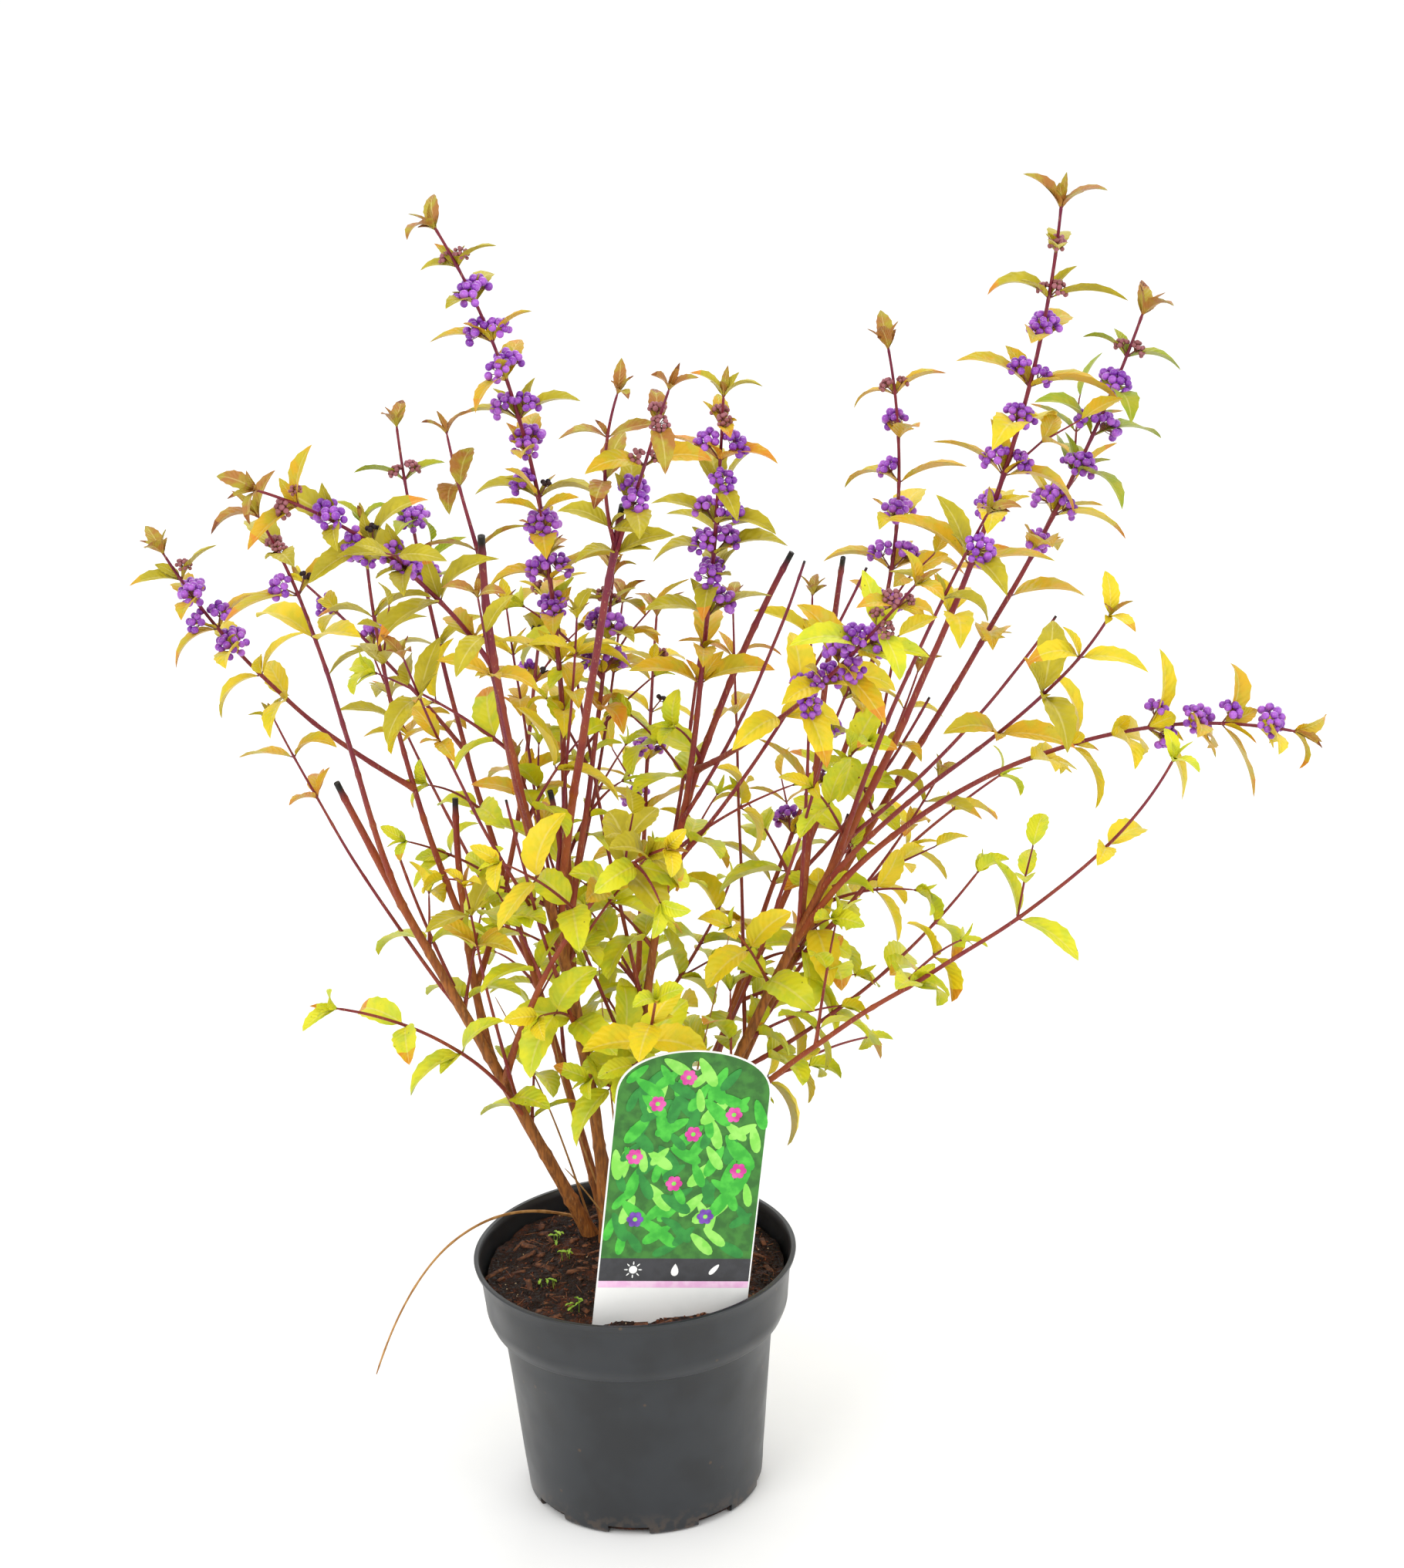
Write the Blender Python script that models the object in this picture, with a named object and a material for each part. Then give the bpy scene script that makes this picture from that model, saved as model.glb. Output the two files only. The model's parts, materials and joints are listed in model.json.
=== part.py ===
"""Potted beautyberry: a nursery pot filled with dark soil, a plain plant label and a deciduous shrub.

The shrub's bare stems are tapering limbs. Each carries a mass of foliage: a stem that grows on from the limb,
side twigs, leaves in opposite pairs and lumps of violet fruit in the leaf axils, joined into one solid.
Metres, +Z up. The origin is the middle of the pot's flat underside.
"""

import math
import random
from typing import NamedTuple

import bmesh
import bpy
from mathutils import Vector
from mathutils.bvhtree import BVHTree

# Gaps and fineness
GAP = 0.0003
POT_SIDES = 32
TRUNK_SIDES = 6
BOUGH_SIDES = 5
TWIG_SIDES = 3
RING_SPACING = 0.05
THICK_STEM = 0.0027
SLEEVE_GAPS = 1.25

# Pot
POT_HEIGHT = 0.1495
RIM_RADIUS = 0.093
LIP_HEIGHT = 0.003
LIP_DEPTH = 0.0015
LIP_ROUNDING = 0.0008
COLLAR_DROP = 0.0405
COLLAR_TOP_RADIUS = 0.0905
COLLAR_SIDE_RADIUS = 0.0875
COLLAR_FOOT_RADIUS = 0.0845
COLLAR_CURVE = 0.012
COLLAR_ROUNDING = 0.0015
BODY_TOP_RADIUS = 0.078
BASE_RADIUS = 0.0684
BASE_ROUNDING = 0.002
WALL = 0.0016
FLOOR = 0.0025
DRAIN_SLOTS = 8
DRAIN_TURN = 0.24
SLOT_WIDTH = 0.024
SLOT_HEIGHT = 0.0055
SLOT_DEPTH = 0.009
SLOT_MARGIN = 0.005

# Soil
SOIL_TOP = 0.140
FLAT_RADIUS = 0.068
CLOD_RADIUS = 0.077
CLOD_HEIGHT = 0.0022
EDGE_DROP = 0.003

# Label
LABEL_PLACE = (0.019, -0.0645, SOIL_TOP)
LABEL_WIDTH = 0.088
LABEL_SHOULDER = 0.134
LABEL_APEX = 0.162
LABEL_FOOT = 0.012
LABEL_THICKNESS = 0.0008
LABEL_ARCH_STEPS = 12
LABEL_ARCH_SQUARENESS = 0.8
LABEL_LEAN = 0.03
LABEL_ROLL = 0.15
LABEL_YAW = 0.19
HANGER_HOLE_RADIUS = 0.0028
HANGER_HOLE_DROP = 0.009
HANGER_HOLE_SIDES = 10

# Leaves, twigs and fruit. A pair of numbers is the least and the most of what is drawn, and angles are degrees.
LEAF_WIDTH_SHARE = 0.38
LEAF_WIDEST = 0.42
LEAF_FOLD = 0.08
LEAF_ROOT = 0.0002
LEAF_KEEL = 0.012
LEAF_GUARD = 0.0012
BROAD_LEAF = 0.55
LEAF_REACH = 1.25
LEAF_LIFT = (48, 66)
TIP_LEAF_LIFT = (22, 34)
LEAF_DROOP = (0.20, 0.48)
LEAF_VARIES = (0.82, 1.12)
LEAF_TO_LIGHT = 0.9
LEAST_LEAF = 0.42
PAIR_TURN = 0.3
PAIR_TURN_VARIES = 0.35
FIRST_PAIR = 0.03
FIRST_PAIR_ON_TWIG = 0.12
LAST_PAIR = 0.995
TWIG_RADIUS = 0.0011
TWIG_GROWTH = 0.0004
TWIG_LEAF_SHARE = 0.7
TWIG_LENGTH = (1.0, 1.5)
TWIG_SPREAD = 0.8
TWIG_RISE = 0.25
TWIG_SAG = 0.12
LOWEST_LEAF = POT_HEIGHT + 0.012
FRUIT_LENGTH = 0.0085
FRUIT_DEPTH = 0.0058
FRUIT_RISE = 0.0045
FRUIT_VARIES = (0.85, 1.15)
FOOT_FLARE = 0.3
FLARE_LENGTH = 0.012


class Stem(NamedTuple):
    """One stem: where it stands, its shape, and what it carries.

    root is the (x, y) of its foot on the soil, or the share of its carrier's length at which it leaves it.
    points are the places that it passes through after its foot. radii are at its foot and tip. bare is the
    share of its length that is a limb with no leaves: 1 is a cut limb, and 0 has no limb. pairs counts its leaf
    pairs, leaf is its longest leaf, width is a leaf's width as a share of its length, twigs counts its side
    twigs, and fruit gives the first and last share of its foliage that bears fruit.
    """

    name: str
    carrier: str
    root: object
    points: tuple
    radii: tuple
    bare: float
    pairs: int = 0
    leaf: float = 0.0
    fruit: tuple = (1.0, 1.0)
    twigs: int = 0
    width: float = LEAF_WIDTH_SHARE


# The stems, from the photo's left to its right, carriers first. The trunks stand in the soil.
STEMS = (
    Stem("trunk_left", "soil", (-0.027, 0.041),
         ((-0.075, 0.020, 0.260), (-0.130, 0.000, 0.395), (-0.150, -0.010, 0.450)), (0.0040, 0.0018), 1),
    Stem("trunk_middle", "soil", (-0.017, 0.030),
         ((-0.035, 0.012, 0.345), (-0.052, -0.020, 0.460), (-0.060, -0.060, 0.605)), (0.0038, 0.0021), 1),
    Stem("trunk_right", "soil", (0.016, 0.032),
         ((0.115, 0.035, 0.355), (0.230, 0.040, 0.620), (0.255, 0.040, 0.745)), (0.0036, 0.0011), 0.60,
         10, 0.052, (0.12, 0.80), 1),
    Stem("stem_left_rear", "soil", (-0.018, 0.054),
         ((-0.050, 0.077, 0.280), (-0.085, 0.110, 0.420), (-0.115, 0.150, 0.605)), (0.0028, 0.0010), 0.70,
         5, 0.036, (0.10, 0.55), 1),
    Stem("stem_plume_left", "soil", (-0.005, 0.046),
         ((-0.028, 0.042, 0.330), (-0.028, 0.037, 0.545), (-0.080, 0.030, 0.750)), (0.0027, 0.0010), 0.50,
         13, 0.044, (0.15, 0.93), 1),
    Stem("stem_centre", "soil", (0.003, 0.034),
         ((0.045, 0.040, 0.420), (0.105, 0.040, 0.555)), (0.0030, 0.0016), 1),
    Stem("stem_plume_centre", "soil", (0.011, 0.053),
         ((0.080, 0.075, 0.300), (0.140, 0.097, 0.435), (0.165, 0.130, 0.645)), (0.0028, 0.0010), 0.58,
         9, 0.044, (0.10, 0.85), 1),
    Stem("stem_plume_right", "soil", (0.026, 0.047),
         ((0.120, 0.080, 0.330), (0.230, 0.110, 0.500), (0.310, 0.140, 0.655)), (0.0032, 0.0011), 0.62,
         9, 0.050, (0.15, 0.80), 2),
    Stem("stem_low_right", "soil", (0.014, 0.018),
         ((0.075, -0.005, 0.250), (0.250, -0.065, 0.400), (0.300, -0.090, 0.475)), (0.0021, 0.0010), 0.50,
         4, 0.040, (1.0, 1.0), 1, 0.42),
    Stem("stem_back_middle", "soil", (-0.002, 0.062),
         ((0.010, 0.120, 0.300), (0.028, 0.190, 0.470)), (0.0026, 0.0010), 0.45,
         7, 0.042, (0.25, 0.85), 1),
    Stem("stem_back_right", "soil", (0.022, 0.059),
         ((0.085, 0.140, 0.300), (0.150, 0.215, 0.430)), (0.0026, 0.0010), 0.45,
         7, 0.042, (0.25, 0.85), 1),
    Stem("arm_left_middle", "trunk_left", 0.40,
         ((-0.088, 0.045, 0.340), (-0.090, 0.060, 0.410)), (0.0026, 0.0017), 1),
    Stem("arm_left_inner", "trunk_left", 0.35,
         ((-0.045, -0.015, 0.325), (-0.005, -0.055, 0.400), (0.030, -0.100, 0.440)), (0.0023, 0.0010), 0.68,
         4, 0.036, (1.0, 1.0), 1, BROAD_LEAF),
    Stem("bough_left_tall", "trunk_left", 0.74,
         ((-0.140, -0.030, 0.480), (-0.157, -0.055, 0.570), (-0.175, -0.070, 0.625)), (0.0020, 0.0010), 0.66,
         4, 0.050, (0.05, 0.60), 0),
    Stem("bough_left_back", "arm_left_middle", 0.50,
         ((-0.115, 0.070, 0.420), (-0.135, 0.110, 0.560)), (0.0021, 0.0010), 0.50,
         5, 0.036, (0.55, 0.95), 1),
    Stem("bough_back_left", "arm_left_middle", 0.28,
         ((-0.065, 0.078, 0.350), (-0.042, 0.170, 0.460), (-0.034, 0.205, 0.505)), (0.0020, 0.0010), 0.45,
         6, 0.040, (0.30, 0.80), 1),
    Stem("bough_far_left", "bough_left_back", 0.36,
         ((-0.178, 0.052, 0.475), (-0.240, 0.040, 0.570)), (0.0017, 0.0010), 0.42,
         7, 0.040, (0.20, 0.80), 0),
    Stem("low_left", "trunk_left", 0.27,
         ((-0.100, -0.020, 0.295), (-0.155, -0.062, 0.338)), (0.0014, 0.0010), 0,
         4, 0.040, (1.0, 1.0), 0, 0.42),
    Stem("left_rear_side", "stem_left_rear", 0.60,
         ((-0.118, 0.130, 0.455), (-0.177, 0.165, 0.508)), (0.0014, 0.0010), 0,
         5, 0.034, (0.30, 0.80), 0),
    Stem("arm_middle_cut", "trunk_middle", 0.42,
         ((-0.030, 0.008, 0.385), (-0.034, 0.002, 0.435)), (0.0022, 0.0016), 1),
    Stem("arm_middle_right", "trunk_middle", 0.39,
         ((-0.014, 0.030, 0.420), (0.006, 0.062, 0.540)), (0.0024, 0.0010), 0.62,
         5, 0.036, (0.10, 0.60), 1),
    Stem("bough_front_dark", "arm_middle_cut", 0.42,
         ((-0.003, -0.048, 0.535), (0.015, -0.080, 0.625)), (0.0024, 0.0019), 1),
    Stem("front_left_tip", "bough_front_dark", 0.90,
         ((0.008, -0.104, 0.660), (0.016, -0.122, 0.698)), (0.0012, 0.0009), 0,
         4, 0.034, (1.0, 1.0), 0),
    Stem("front_right_tip", "bough_front_dark", 0.82,
         ((0.030, -0.107, 0.662), (0.042, -0.132, 0.702)), (0.0013, 0.0009), 0,
         5, 0.038, (0.10, 0.45), 0),
    Stem("left_long_side", "trunk_middle", 0.82,
         ((-0.115, -0.088, 0.612), (-0.168, -0.132, 0.658)), (0.0015, 0.0010), 0,
         7, 0.043, (0.25, 0.80), 1),
    Stem("bronze_tip", "trunk_middle", 0.96,
         ((-0.069, -0.043, 0.617), (-0.077, -0.020, 0.650)), (0.0013, 0.0009), 0,
         3, 0.034, (1.0, 1.0), 0),
    Stem("bough_centre", "stem_centre", 0.62,
         ((0.060, -0.008, 0.560), (0.070, -0.032, 0.668)), (0.0019, 0.0010), 0.30,
         10, 0.043, (0.18, 0.85), 1),
    Stem("bough_front_right", "stem_centre", 0.68,
         ((0.095, -0.055, 0.495), (0.162, -0.152, 0.600)), (0.0019, 0.0010), 0.40,
         8, 0.044, (0.10, 0.75), 1),
    Stem("low_front", "stem_centre", 0.24,
         ((0.014, -0.040, 0.300), (0.020, -0.085, 0.345)), (0.0014, 0.0010), 0,
         5, 0.038, (1.0, 1.0), 1, BROAD_LEAF),
    Stem("low_back", "stem_back_middle", 0.30,
         ((0.035, 0.120, 0.270), (0.065, 0.170, 0.305)), (0.0014, 0.0010), 0,
         5, 0.038, (1.0, 1.0), 1, BROAD_LEAF),
    Stem("arm_right_cut", "trunk_right", 0.32,
         ((0.118, 0.052, 0.445), (0.132, 0.012, 0.560)), (0.0021, 0.0015), 1),
    Stem("bough_purple_side", "trunk_right", 0.40,
         ((0.165, -0.020, 0.505), (0.205, -0.072, 0.610)), (0.0017, 0.0010), 0.72,
         3, 0.040, (0.20, 0.95), 0),
    Stem("bough_right_front", "trunk_right", 0.36,
         ((0.170, -0.012, 0.430), (0.240, -0.095, 0.525), (0.262, -0.132, 0.572)), (0.0017, 0.0010), 0.55,
         4, 0.045, (1.0, 1.0), 0),
    Stem("bough_right_long", "trunk_right", 0.30,
         ((0.165, 0.022, 0.398), (0.300, 0.008, 0.455), (0.378, 0.000, 0.452)), (0.0021, 0.0011), 0.52,
         8, 0.050, (0.30, 0.90), 0),
    Stem("low_right_upper", "trunk_right", 0.17,
         ((0.165, 0.068, 0.300), (0.208, 0.090, 0.338)), (0.0015, 0.0010), 0,
         5, 0.038, (1.0, 1.0), 0, BROAD_LEAF),
    Stem("low_right_back", "stem_plume_right", 0.20,
         ((0.155, 0.128, 0.325), (0.228, 0.172, 0.365)), (0.0015, 0.0010), 0,
         6, 0.040, (1.0, 1.0), 1, 0.42),
    Stem("low_right_twig", "trunk_right", 0.09,
         ((0.085, 0.066, 0.222), (0.142, 0.118, 0.222)), (0.0012, 0.0009), 0,
         3, 0.036, (1.0, 1.0), 0, 0.42),
    Stem("dry_stalk", "soil", (-0.030, 0.058),
         ((-0.088, 0.020, 0.160), (-0.150, -0.045, 0.100)), (0.0010, 0.0007), 1),
)
BY_NAME = {stem.name: stem for stem in STEMS}

# Each material's colour
COLOURS = {
    "trunk": (0.42, 0.20, 0.08),
    "stem": (0.34, 0.07, 0.09),
    "foliage": (0.62, 0.52, 0.06),
    "soil": (0.045, 0.026, 0.018),
    "pot": (0.035, 0.037, 0.041),
    "label": (0.30, 0.52, 0.16),
    "dry": (0.48, 0.34, 0.20),
}


def clear_scene():
    """Removes what the opened file holds."""
    for obj in list(bpy.data.objects):
        bpy.data.objects.remove(obj, do_unlink=True)


def material(name, roughness):
    """A Principled material in one of the plant's colours."""
    made = bpy.data.materials.get(name) or bpy.data.materials.new(name)
    made.use_nodes = True
    shader = made.node_tree.nodes["Principled BSDF"]
    shader.inputs["Base Color"].default_value = (*COLOURS[name], 1)
    shader.inputs["Roughness"].default_value = roughness
    return made


def add_object(name, points, faces, finish=None):
    """An object with this mesh, its faces turned outwards."""
    mesh = bpy.data.meshes.new(name)
    mesh.from_pydata([tuple(p) for p in points], [], faces)
    shape = bmesh.new()
    shape.from_mesh(mesh)
    bmesh.ops.recalc_face_normals(shape, faces=shape.faces)
    shape.to_mesh(mesh)
    shape.free()
    obj = bpy.data.objects.new(name, mesh)
    bpy.context.scene.collection.objects.link(obj)
    if finish:
        mesh.materials.append(finish)
    return obj


def apply_modifiers(obj):
    """Puts what the modifiers make into the mesh, and drops them."""
    bpy.context.view_layer.update()
    graph = bpy.context.evaluated_depsgraph_get()
    old = obj.data
    obj.data = bpy.data.meshes.new_from_object(obj.evaluated_get(graph))
    obj.modifiers.clear()
    bpy.data.meshes.remove(old)


def cut_clear(obj, cutter, solver="EXACT"):
    """Takes the cutter's shape away from the object, and removes the cutter."""
    cutter.hide_render = True
    cutter.display_type = "WIRE"
    cut = obj.modifiers.new("cut", "BOOLEAN")
    cut.operation = "DIFFERENCE"
    cut.solver = solver
    cut.object = cutter
    apply_modifiers(obj)
    bpy.data.objects.remove(cutter, do_unlink=True)


def keep_outer_shell(obj):
    """Keeps the largest closed shell: that fills a hollow that fusing sealed, and drops a loose scrap."""
    shape = bmesh.new()
    shape.from_mesh(obj.data)
    left = set(shape.verts)
    shells = []
    while left:
        shell = [left.pop()]
        for vertex in shell:
            for edge in vertex.link_edges:
                other = edge.other_vert(vertex)
                if other in left:
                    left.remove(other)
                    shell.append(other)
        shells.append(shell)
    shells.sort(key=len)
    scraps = [vertex for shell in shells[:-1] for vertex in shell]
    bmesh.ops.delete(shape, geom=scraps, context="VERTS")
    shape.to_mesh(obj.data)
    shape.free()


def join_all(obj, others):
    """One union of the object with the others, which are then removed."""
    group = bpy.data.collections.new("joined")
    bpy.context.scene.collection.children.link(group)
    for other in others:
        bpy.context.scene.collection.objects.unlink(other)
        group.objects.link(other)
    union = obj.modifiers.new("union", "BOOLEAN")
    union.operation = "UNION"
    union.operand_type = "COLLECTION"
    union.solver = "MANIFOLD"
    union.collection = group
    apply_modifiers(obj)
    for other in others:
        bpy.data.objects.remove(other, do_unlink=True)
    bpy.data.collections.remove(group)
    keep_outer_shell(obj)


def turned(name, profile, finish, sides=POT_SIDES):
    """A closed solid turned about Z from (radius, height) points that start and end on the axis."""
    points = []
    rings = []
    for radius, height in profile:
        count = sides if radius > 0 else 1
        rings.append(range(len(points), len(points) + count))
        for i in range(count):
            angle = math.tau * i / sides
            points.append((radius * math.cos(angle), radius * math.sin(angle), height))
    faces = []
    for low, high in zip(rings, rings[1:]):
        for i in range(sides):
            j = (i + 1) % sides
            corners = [low[i % len(low)], low[j % len(low)], high[j % len(high)], high[i % len(high)]]
            faces.append(list(dict.fromkeys(corners)))
    return add_object(name, points, faces, finish)


# Pot

def outer_profile():
    """The pot's outside from its underside to its lip, as (radius, height)."""
    collar_foot = POT_HEIGHT - COLLAR_DROP
    lip = POT_HEIGHT - LIP_HEIGHT
    return [
        (BASE_RADIUS - BASE_ROUNDING, 0),
        (BASE_RADIUS, BASE_ROUNDING),
        (BODY_TOP_RADIUS, collar_foot - COLLAR_ROUNDING),
        (COLLAR_FOOT_RADIUS - COLLAR_ROUNDING, collar_foot),
        (COLLAR_FOOT_RADIUS, collar_foot + COLLAR_ROUNDING),
        (COLLAR_SIDE_RADIUS, collar_foot + COLLAR_CURVE),
        (COLLAR_TOP_RADIUS, lip - LIP_ROUNDING),
        (RIM_RADIUS, lip),
        (RIM_RADIUS, POT_HEIGHT - LIP_ROUNDING),
        (RIM_RADIUS - LIP_ROUNDING, POT_HEIGHT),
    ]


def inner_profile():
    """The pot's inside from its lip down to its floor, one wall in from the outside."""
    collar_foot = POT_HEIGHT - COLLAR_DROP
    return [
        (RIM_RADIUS - LIP_DEPTH - WALL, POT_HEIGHT),
        (COLLAR_TOP_RADIUS - WALL, POT_HEIGHT - LIP_HEIGHT),
        (COLLAR_SIDE_RADIUS - WALL, collar_foot + COLLAR_CURVE),
        (COLLAR_FOOT_RADIUS - WALL, collar_foot + FLOOR + COLLAR_ROUNDING),
        (BODY_TOP_RADIUS - WALL, collar_foot + WALL),
        (BASE_RADIUS - WALL, FLOOR),
    ]


def make_pot():
    """The moulded pot: one wall with a collar and a lip, and drain slots through the edge of its base."""
    profile = [(0, 0)] + outer_profile() + inner_profile() + [(0, FLOOR)]
    pot = turned("pot", profile, material("pot", 0.45))
    for i in range(DRAIN_SLOTS):
        angle = math.tau * (i + 0.5) / DRAIN_SLOTS - math.pi / 2 + DRAIN_TURN
        along = Vector((math.cos(angle), math.sin(angle), 0))
        across = Vector((-math.sin(angle), math.cos(angle), 0))
        corners = []
        for height in (-SLOT_MARGIN, SLOT_HEIGHT):
            for out, side in ((-1, -1), (1, -1), (1, 1), (-1, 1)):
                radius = BASE_RADIUS + (SLOT_MARGIN if out > 0 else -SLOT_DEPTH)
                corners.append(along * radius + across * side * SLOT_WIDTH / 2 + Vector((0, 0, height)))
        sides = [(0, 1, 2, 3), (4, 7, 6, 5), (0, 4, 5, 1), (1, 5, 6, 2), (2, 6, 7, 3), (3, 7, 4, 0)]
        cut_clear(pot, add_object("slot", corners, sides))
    return pot


# Soil

def make_soil(label_slot):
    """The soil that fills the pot: flat where the stems stand, cloddy at the rim, slotted for the label."""
    clear = [(radius - GAP, height) for radius, height in reversed(inner_profile()[2:])]
    clear[0] = (clear[0][0], FLOOR + GAP)
    edge_height = SOIL_TOP - EDGE_DROP
    edge_radius = COLLAR_SIDE_RADIUS - WALL - GAP
    rings = [(FLAT_RADIUS, SOIL_TOP), (CLOD_RADIUS, SOIL_TOP - EDGE_DROP / 2)]
    profile = [(0, FLOOR + GAP)] + clear + [(edge_radius, edge_height)] + rings[::-1] + [(0, SOIL_TOP)]
    soil = turned("soil", profile, material("soil", 0.95))
    draw = random.Random(7)
    for vertex in soil.data.vertices:
        radius = math.hypot(vertex.co.x, vertex.co.y)
        if vertex.co.z > edge_height - GAP and radius > FLAT_RADIUS + GAP:
            vertex.co.z += draw.uniform(-CLOD_HEIGHT, CLOD_HEIGHT * 0.6)
    cut_clear(soil, label_slot)
    return soil


# Label

def label_outline(grow):
    """The label's outline in its own plane, from its foot up one side, over the arch and down the other."""
    half = LABEL_WIDTH / 2 + grow
    outline = [(-half, -LABEL_FOOT - grow), (half, -LABEL_FOOT - grow)]
    for i in range(LABEL_ARCH_STEPS + 1):
        angle = math.pi * i / LABEL_ARCH_STEPS
        rise = (LABEL_APEX - LABEL_SHOULDER) * math.sin(angle) ** LABEL_ARCH_SQUARENESS
        outline.append((half * math.cos(angle), LABEL_SHOULDER + rise + grow))
    return outline


def label_point(across, out, up):
    """A place on the label, from its own plane: turned in that plane, leant back and turned about Z."""
    x = across * math.cos(LABEL_ROLL) + up * math.sin(LABEL_ROLL)
    rise = -across * math.sin(LABEL_ROLL) + up * math.cos(LABEL_ROLL)
    y = out * math.cos(LABEL_LEAN) + rise * math.sin(LABEL_LEAN)
    z = -out * math.sin(LABEL_LEAN) + rise * math.cos(LABEL_LEAN)
    turned_x = x * math.cos(LABEL_YAW) - y * math.sin(LABEL_YAW)
    turned_y = x * math.sin(LABEL_YAW) + y * math.cos(LABEL_YAW)
    return Vector((turned_x, turned_y, z)) + Vector(LABEL_PLACE)


def label_solid(name, grow, finish=None):
    """The label's plate, or with grow the slot that it stands in."""
    outline = label_outline(grow)
    half = LABEL_THICKNESS / 2 + grow
    count = len(outline)
    points = [label_point(x, side * half, z) for side in (-1, 1) for x, z in outline]
    faces = [list(range(count)), list(range(2 * count - 1, count - 1, -1))]
    faces += [[i, (i + 1) % count, count + (i + 1) % count, count + i] for i in range(count)]
    return add_object(name, points, faces, finish)


def make_label():
    """The plant label: a thin arched plate with a hole for a hanger."""
    label = label_solid("label", 0, material("label", 0.35))
    count = HANGER_HOLE_SIDES
    ring = []
    for side in (-1, 1):
        for i in range(count):
            angle = math.tau * i / count
            x = HANGER_HOLE_RADIUS * math.cos(angle)
            z = LABEL_APEX - HANGER_HOLE_DROP + HANGER_HOLE_RADIUS * math.sin(angle)
            ring.append(label_point(x, side * HANGER_HOLE_RADIUS, z))
    faces = [list(range(count)), list(range(2 * count - 1, count - 1, -1))]
    faces += [[i, (i + 1) % count, count + (i + 1) % count, count + i] for i in range(count)]
    cut_clear(label, add_object("hole", ring, faces))
    return label


# Stems

def path_of(stem):
    """The places that the stem's centre line passes through, its foot first."""
    if stem.carrier == "soil":
        foot = Vector((*stem.root, SOIL_TOP + GAP))
    else:
        foot = centre_at(BY_NAME[stem.carrier], stem.root)
    return [foot] + [Vector(point) for point in stem.points]


def centre_at(stem, share):
    """The centre line at a share of the stem's length: one smooth curve through its places."""
    path = path_of(stem)
    marks = [0.0]
    for a, b in zip(path, path[1:]):
        marks.append(marks[-1] + (b - a).length)
    marks = [mark / marks[-1] for mark in marks]
    place = Vector((0, 0, 0))
    for i, point in enumerate(path):
        weight = 1.0
        for j, mark in enumerate(marks):
            if j != i:
                weight *= (share - mark) / (marks[i] - mark)
        place += point * weight
    return place


def length_of(stem):
    """The stem's length, near enough for spacing things along it."""
    path = path_of(stem)
    return sum((b - a).length for a, b in zip(path, path[1:]))


def heading_at(stem, share):
    """The direction in which the stem grows at a share of its length."""
    return (centre_at(stem, share + 0.01) - centre_at(stem, share - 0.01)).normalized()


def radius_at(stem, share):
    """The stem's radius: it tapers evenly, with a flare at a foot in the soil."""
    foot, tip = stem.radii
    radius = foot + (tip - foot) * share
    if stem.carrier == "soil":
        radius *= 1 + FOOT_FLARE * math.exp(-share * length_of(stem) / FLARE_LENGTH)
    return radius


def tube(places, radii, sides):
    """Points and faces of a closed tube through the places, with flat ends."""
    points = []
    side = None
    count = len(places)
    for i, place in enumerate(places):
        heading = (places[min(i + 1, count - 1)] - places[max(i - 1, 0)]).normalized()
        if side is None:
            side = heading.cross(Vector((0.3, 1, 0.1))).normalized()
        side = (side - heading * side.dot(heading)).normalized()
        across = heading.cross(side)
        for k in range(sides):
            angle = math.tau * k / sides
            points.append(place + (side * math.cos(angle) + across * math.sin(angle)) * radii[i])
    faces = [list(range(sides)), list(range(len(points) - 1, len(points) - 1 - sides, -1))]
    for i in range(count - 1):
        for k in range(sides):
            j = (k + 1) % sides
            low, high = i * sides, (i + 1) * sides
            faces.append([low + k, low + j, high + j, high + k])
    return points, faces


def stem_tube(stem, first, last, sides, grow=0.0):
    """The tube of a stretch of the stem. At the soil its first ring lies flat."""
    rings = max(2, round((last - first) * length_of(stem) / RING_SPACING)) + 1
    shares = [first + (last - first) * i / (rings - 1) for i in range(rings)]
    if stem.carrier == "soil" and first == 0:
        shares.insert(1, FLARE_LENGTH / length_of(stem))
    places = [centre_at(stem, share) for share in shares]
    points, faces = tube(places, [radius_at(stem, share) + grow for share in shares], sides)
    if stem.carrier == "soil" and first == 0:
        heading = heading_at(stem, 0.01)
        for k in range(sides):
            points[k] += heading * ((SOIL_TOP + GAP - points[k].z) / heading.z)
    return points, faces


def sides_of(stem):
    """More sides on a thick stem than on a thin one."""
    return TRUNK_SIDES if stem.radii[0] > THICK_STEM else BOUGH_SIDES


def sleeve(stem):
    """The stem grown by the gap, to cut what leaves it clear."""
    points, faces = stem_tube(stem, 0, stem.bare, sides_of(stem), GAP * SLEEVE_GAPS)
    return add_object("sleeve", points, faces)


def wood_of(stem):
    """The name of the stem's colour."""
    if stem.name == "dry_stalk":
        return "dry"
    return "trunk" if stem.name.startswith("trunk") else "stem"


def make_limb(stem):
    """The bare part of a stem, cut clear of what carries it."""
    points, faces = stem_tube(stem, 0, stem.bare, sides_of(stem))
    limb = add_object(stem.name, points, faces, material(wood_of(stem), 0.6))
    if stem.carrier != "soil":
        cut_clear(limb, sleeve(BY_NAME[stem.carrier]), "MANIFOLD")
    return limb


# Foliage

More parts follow.
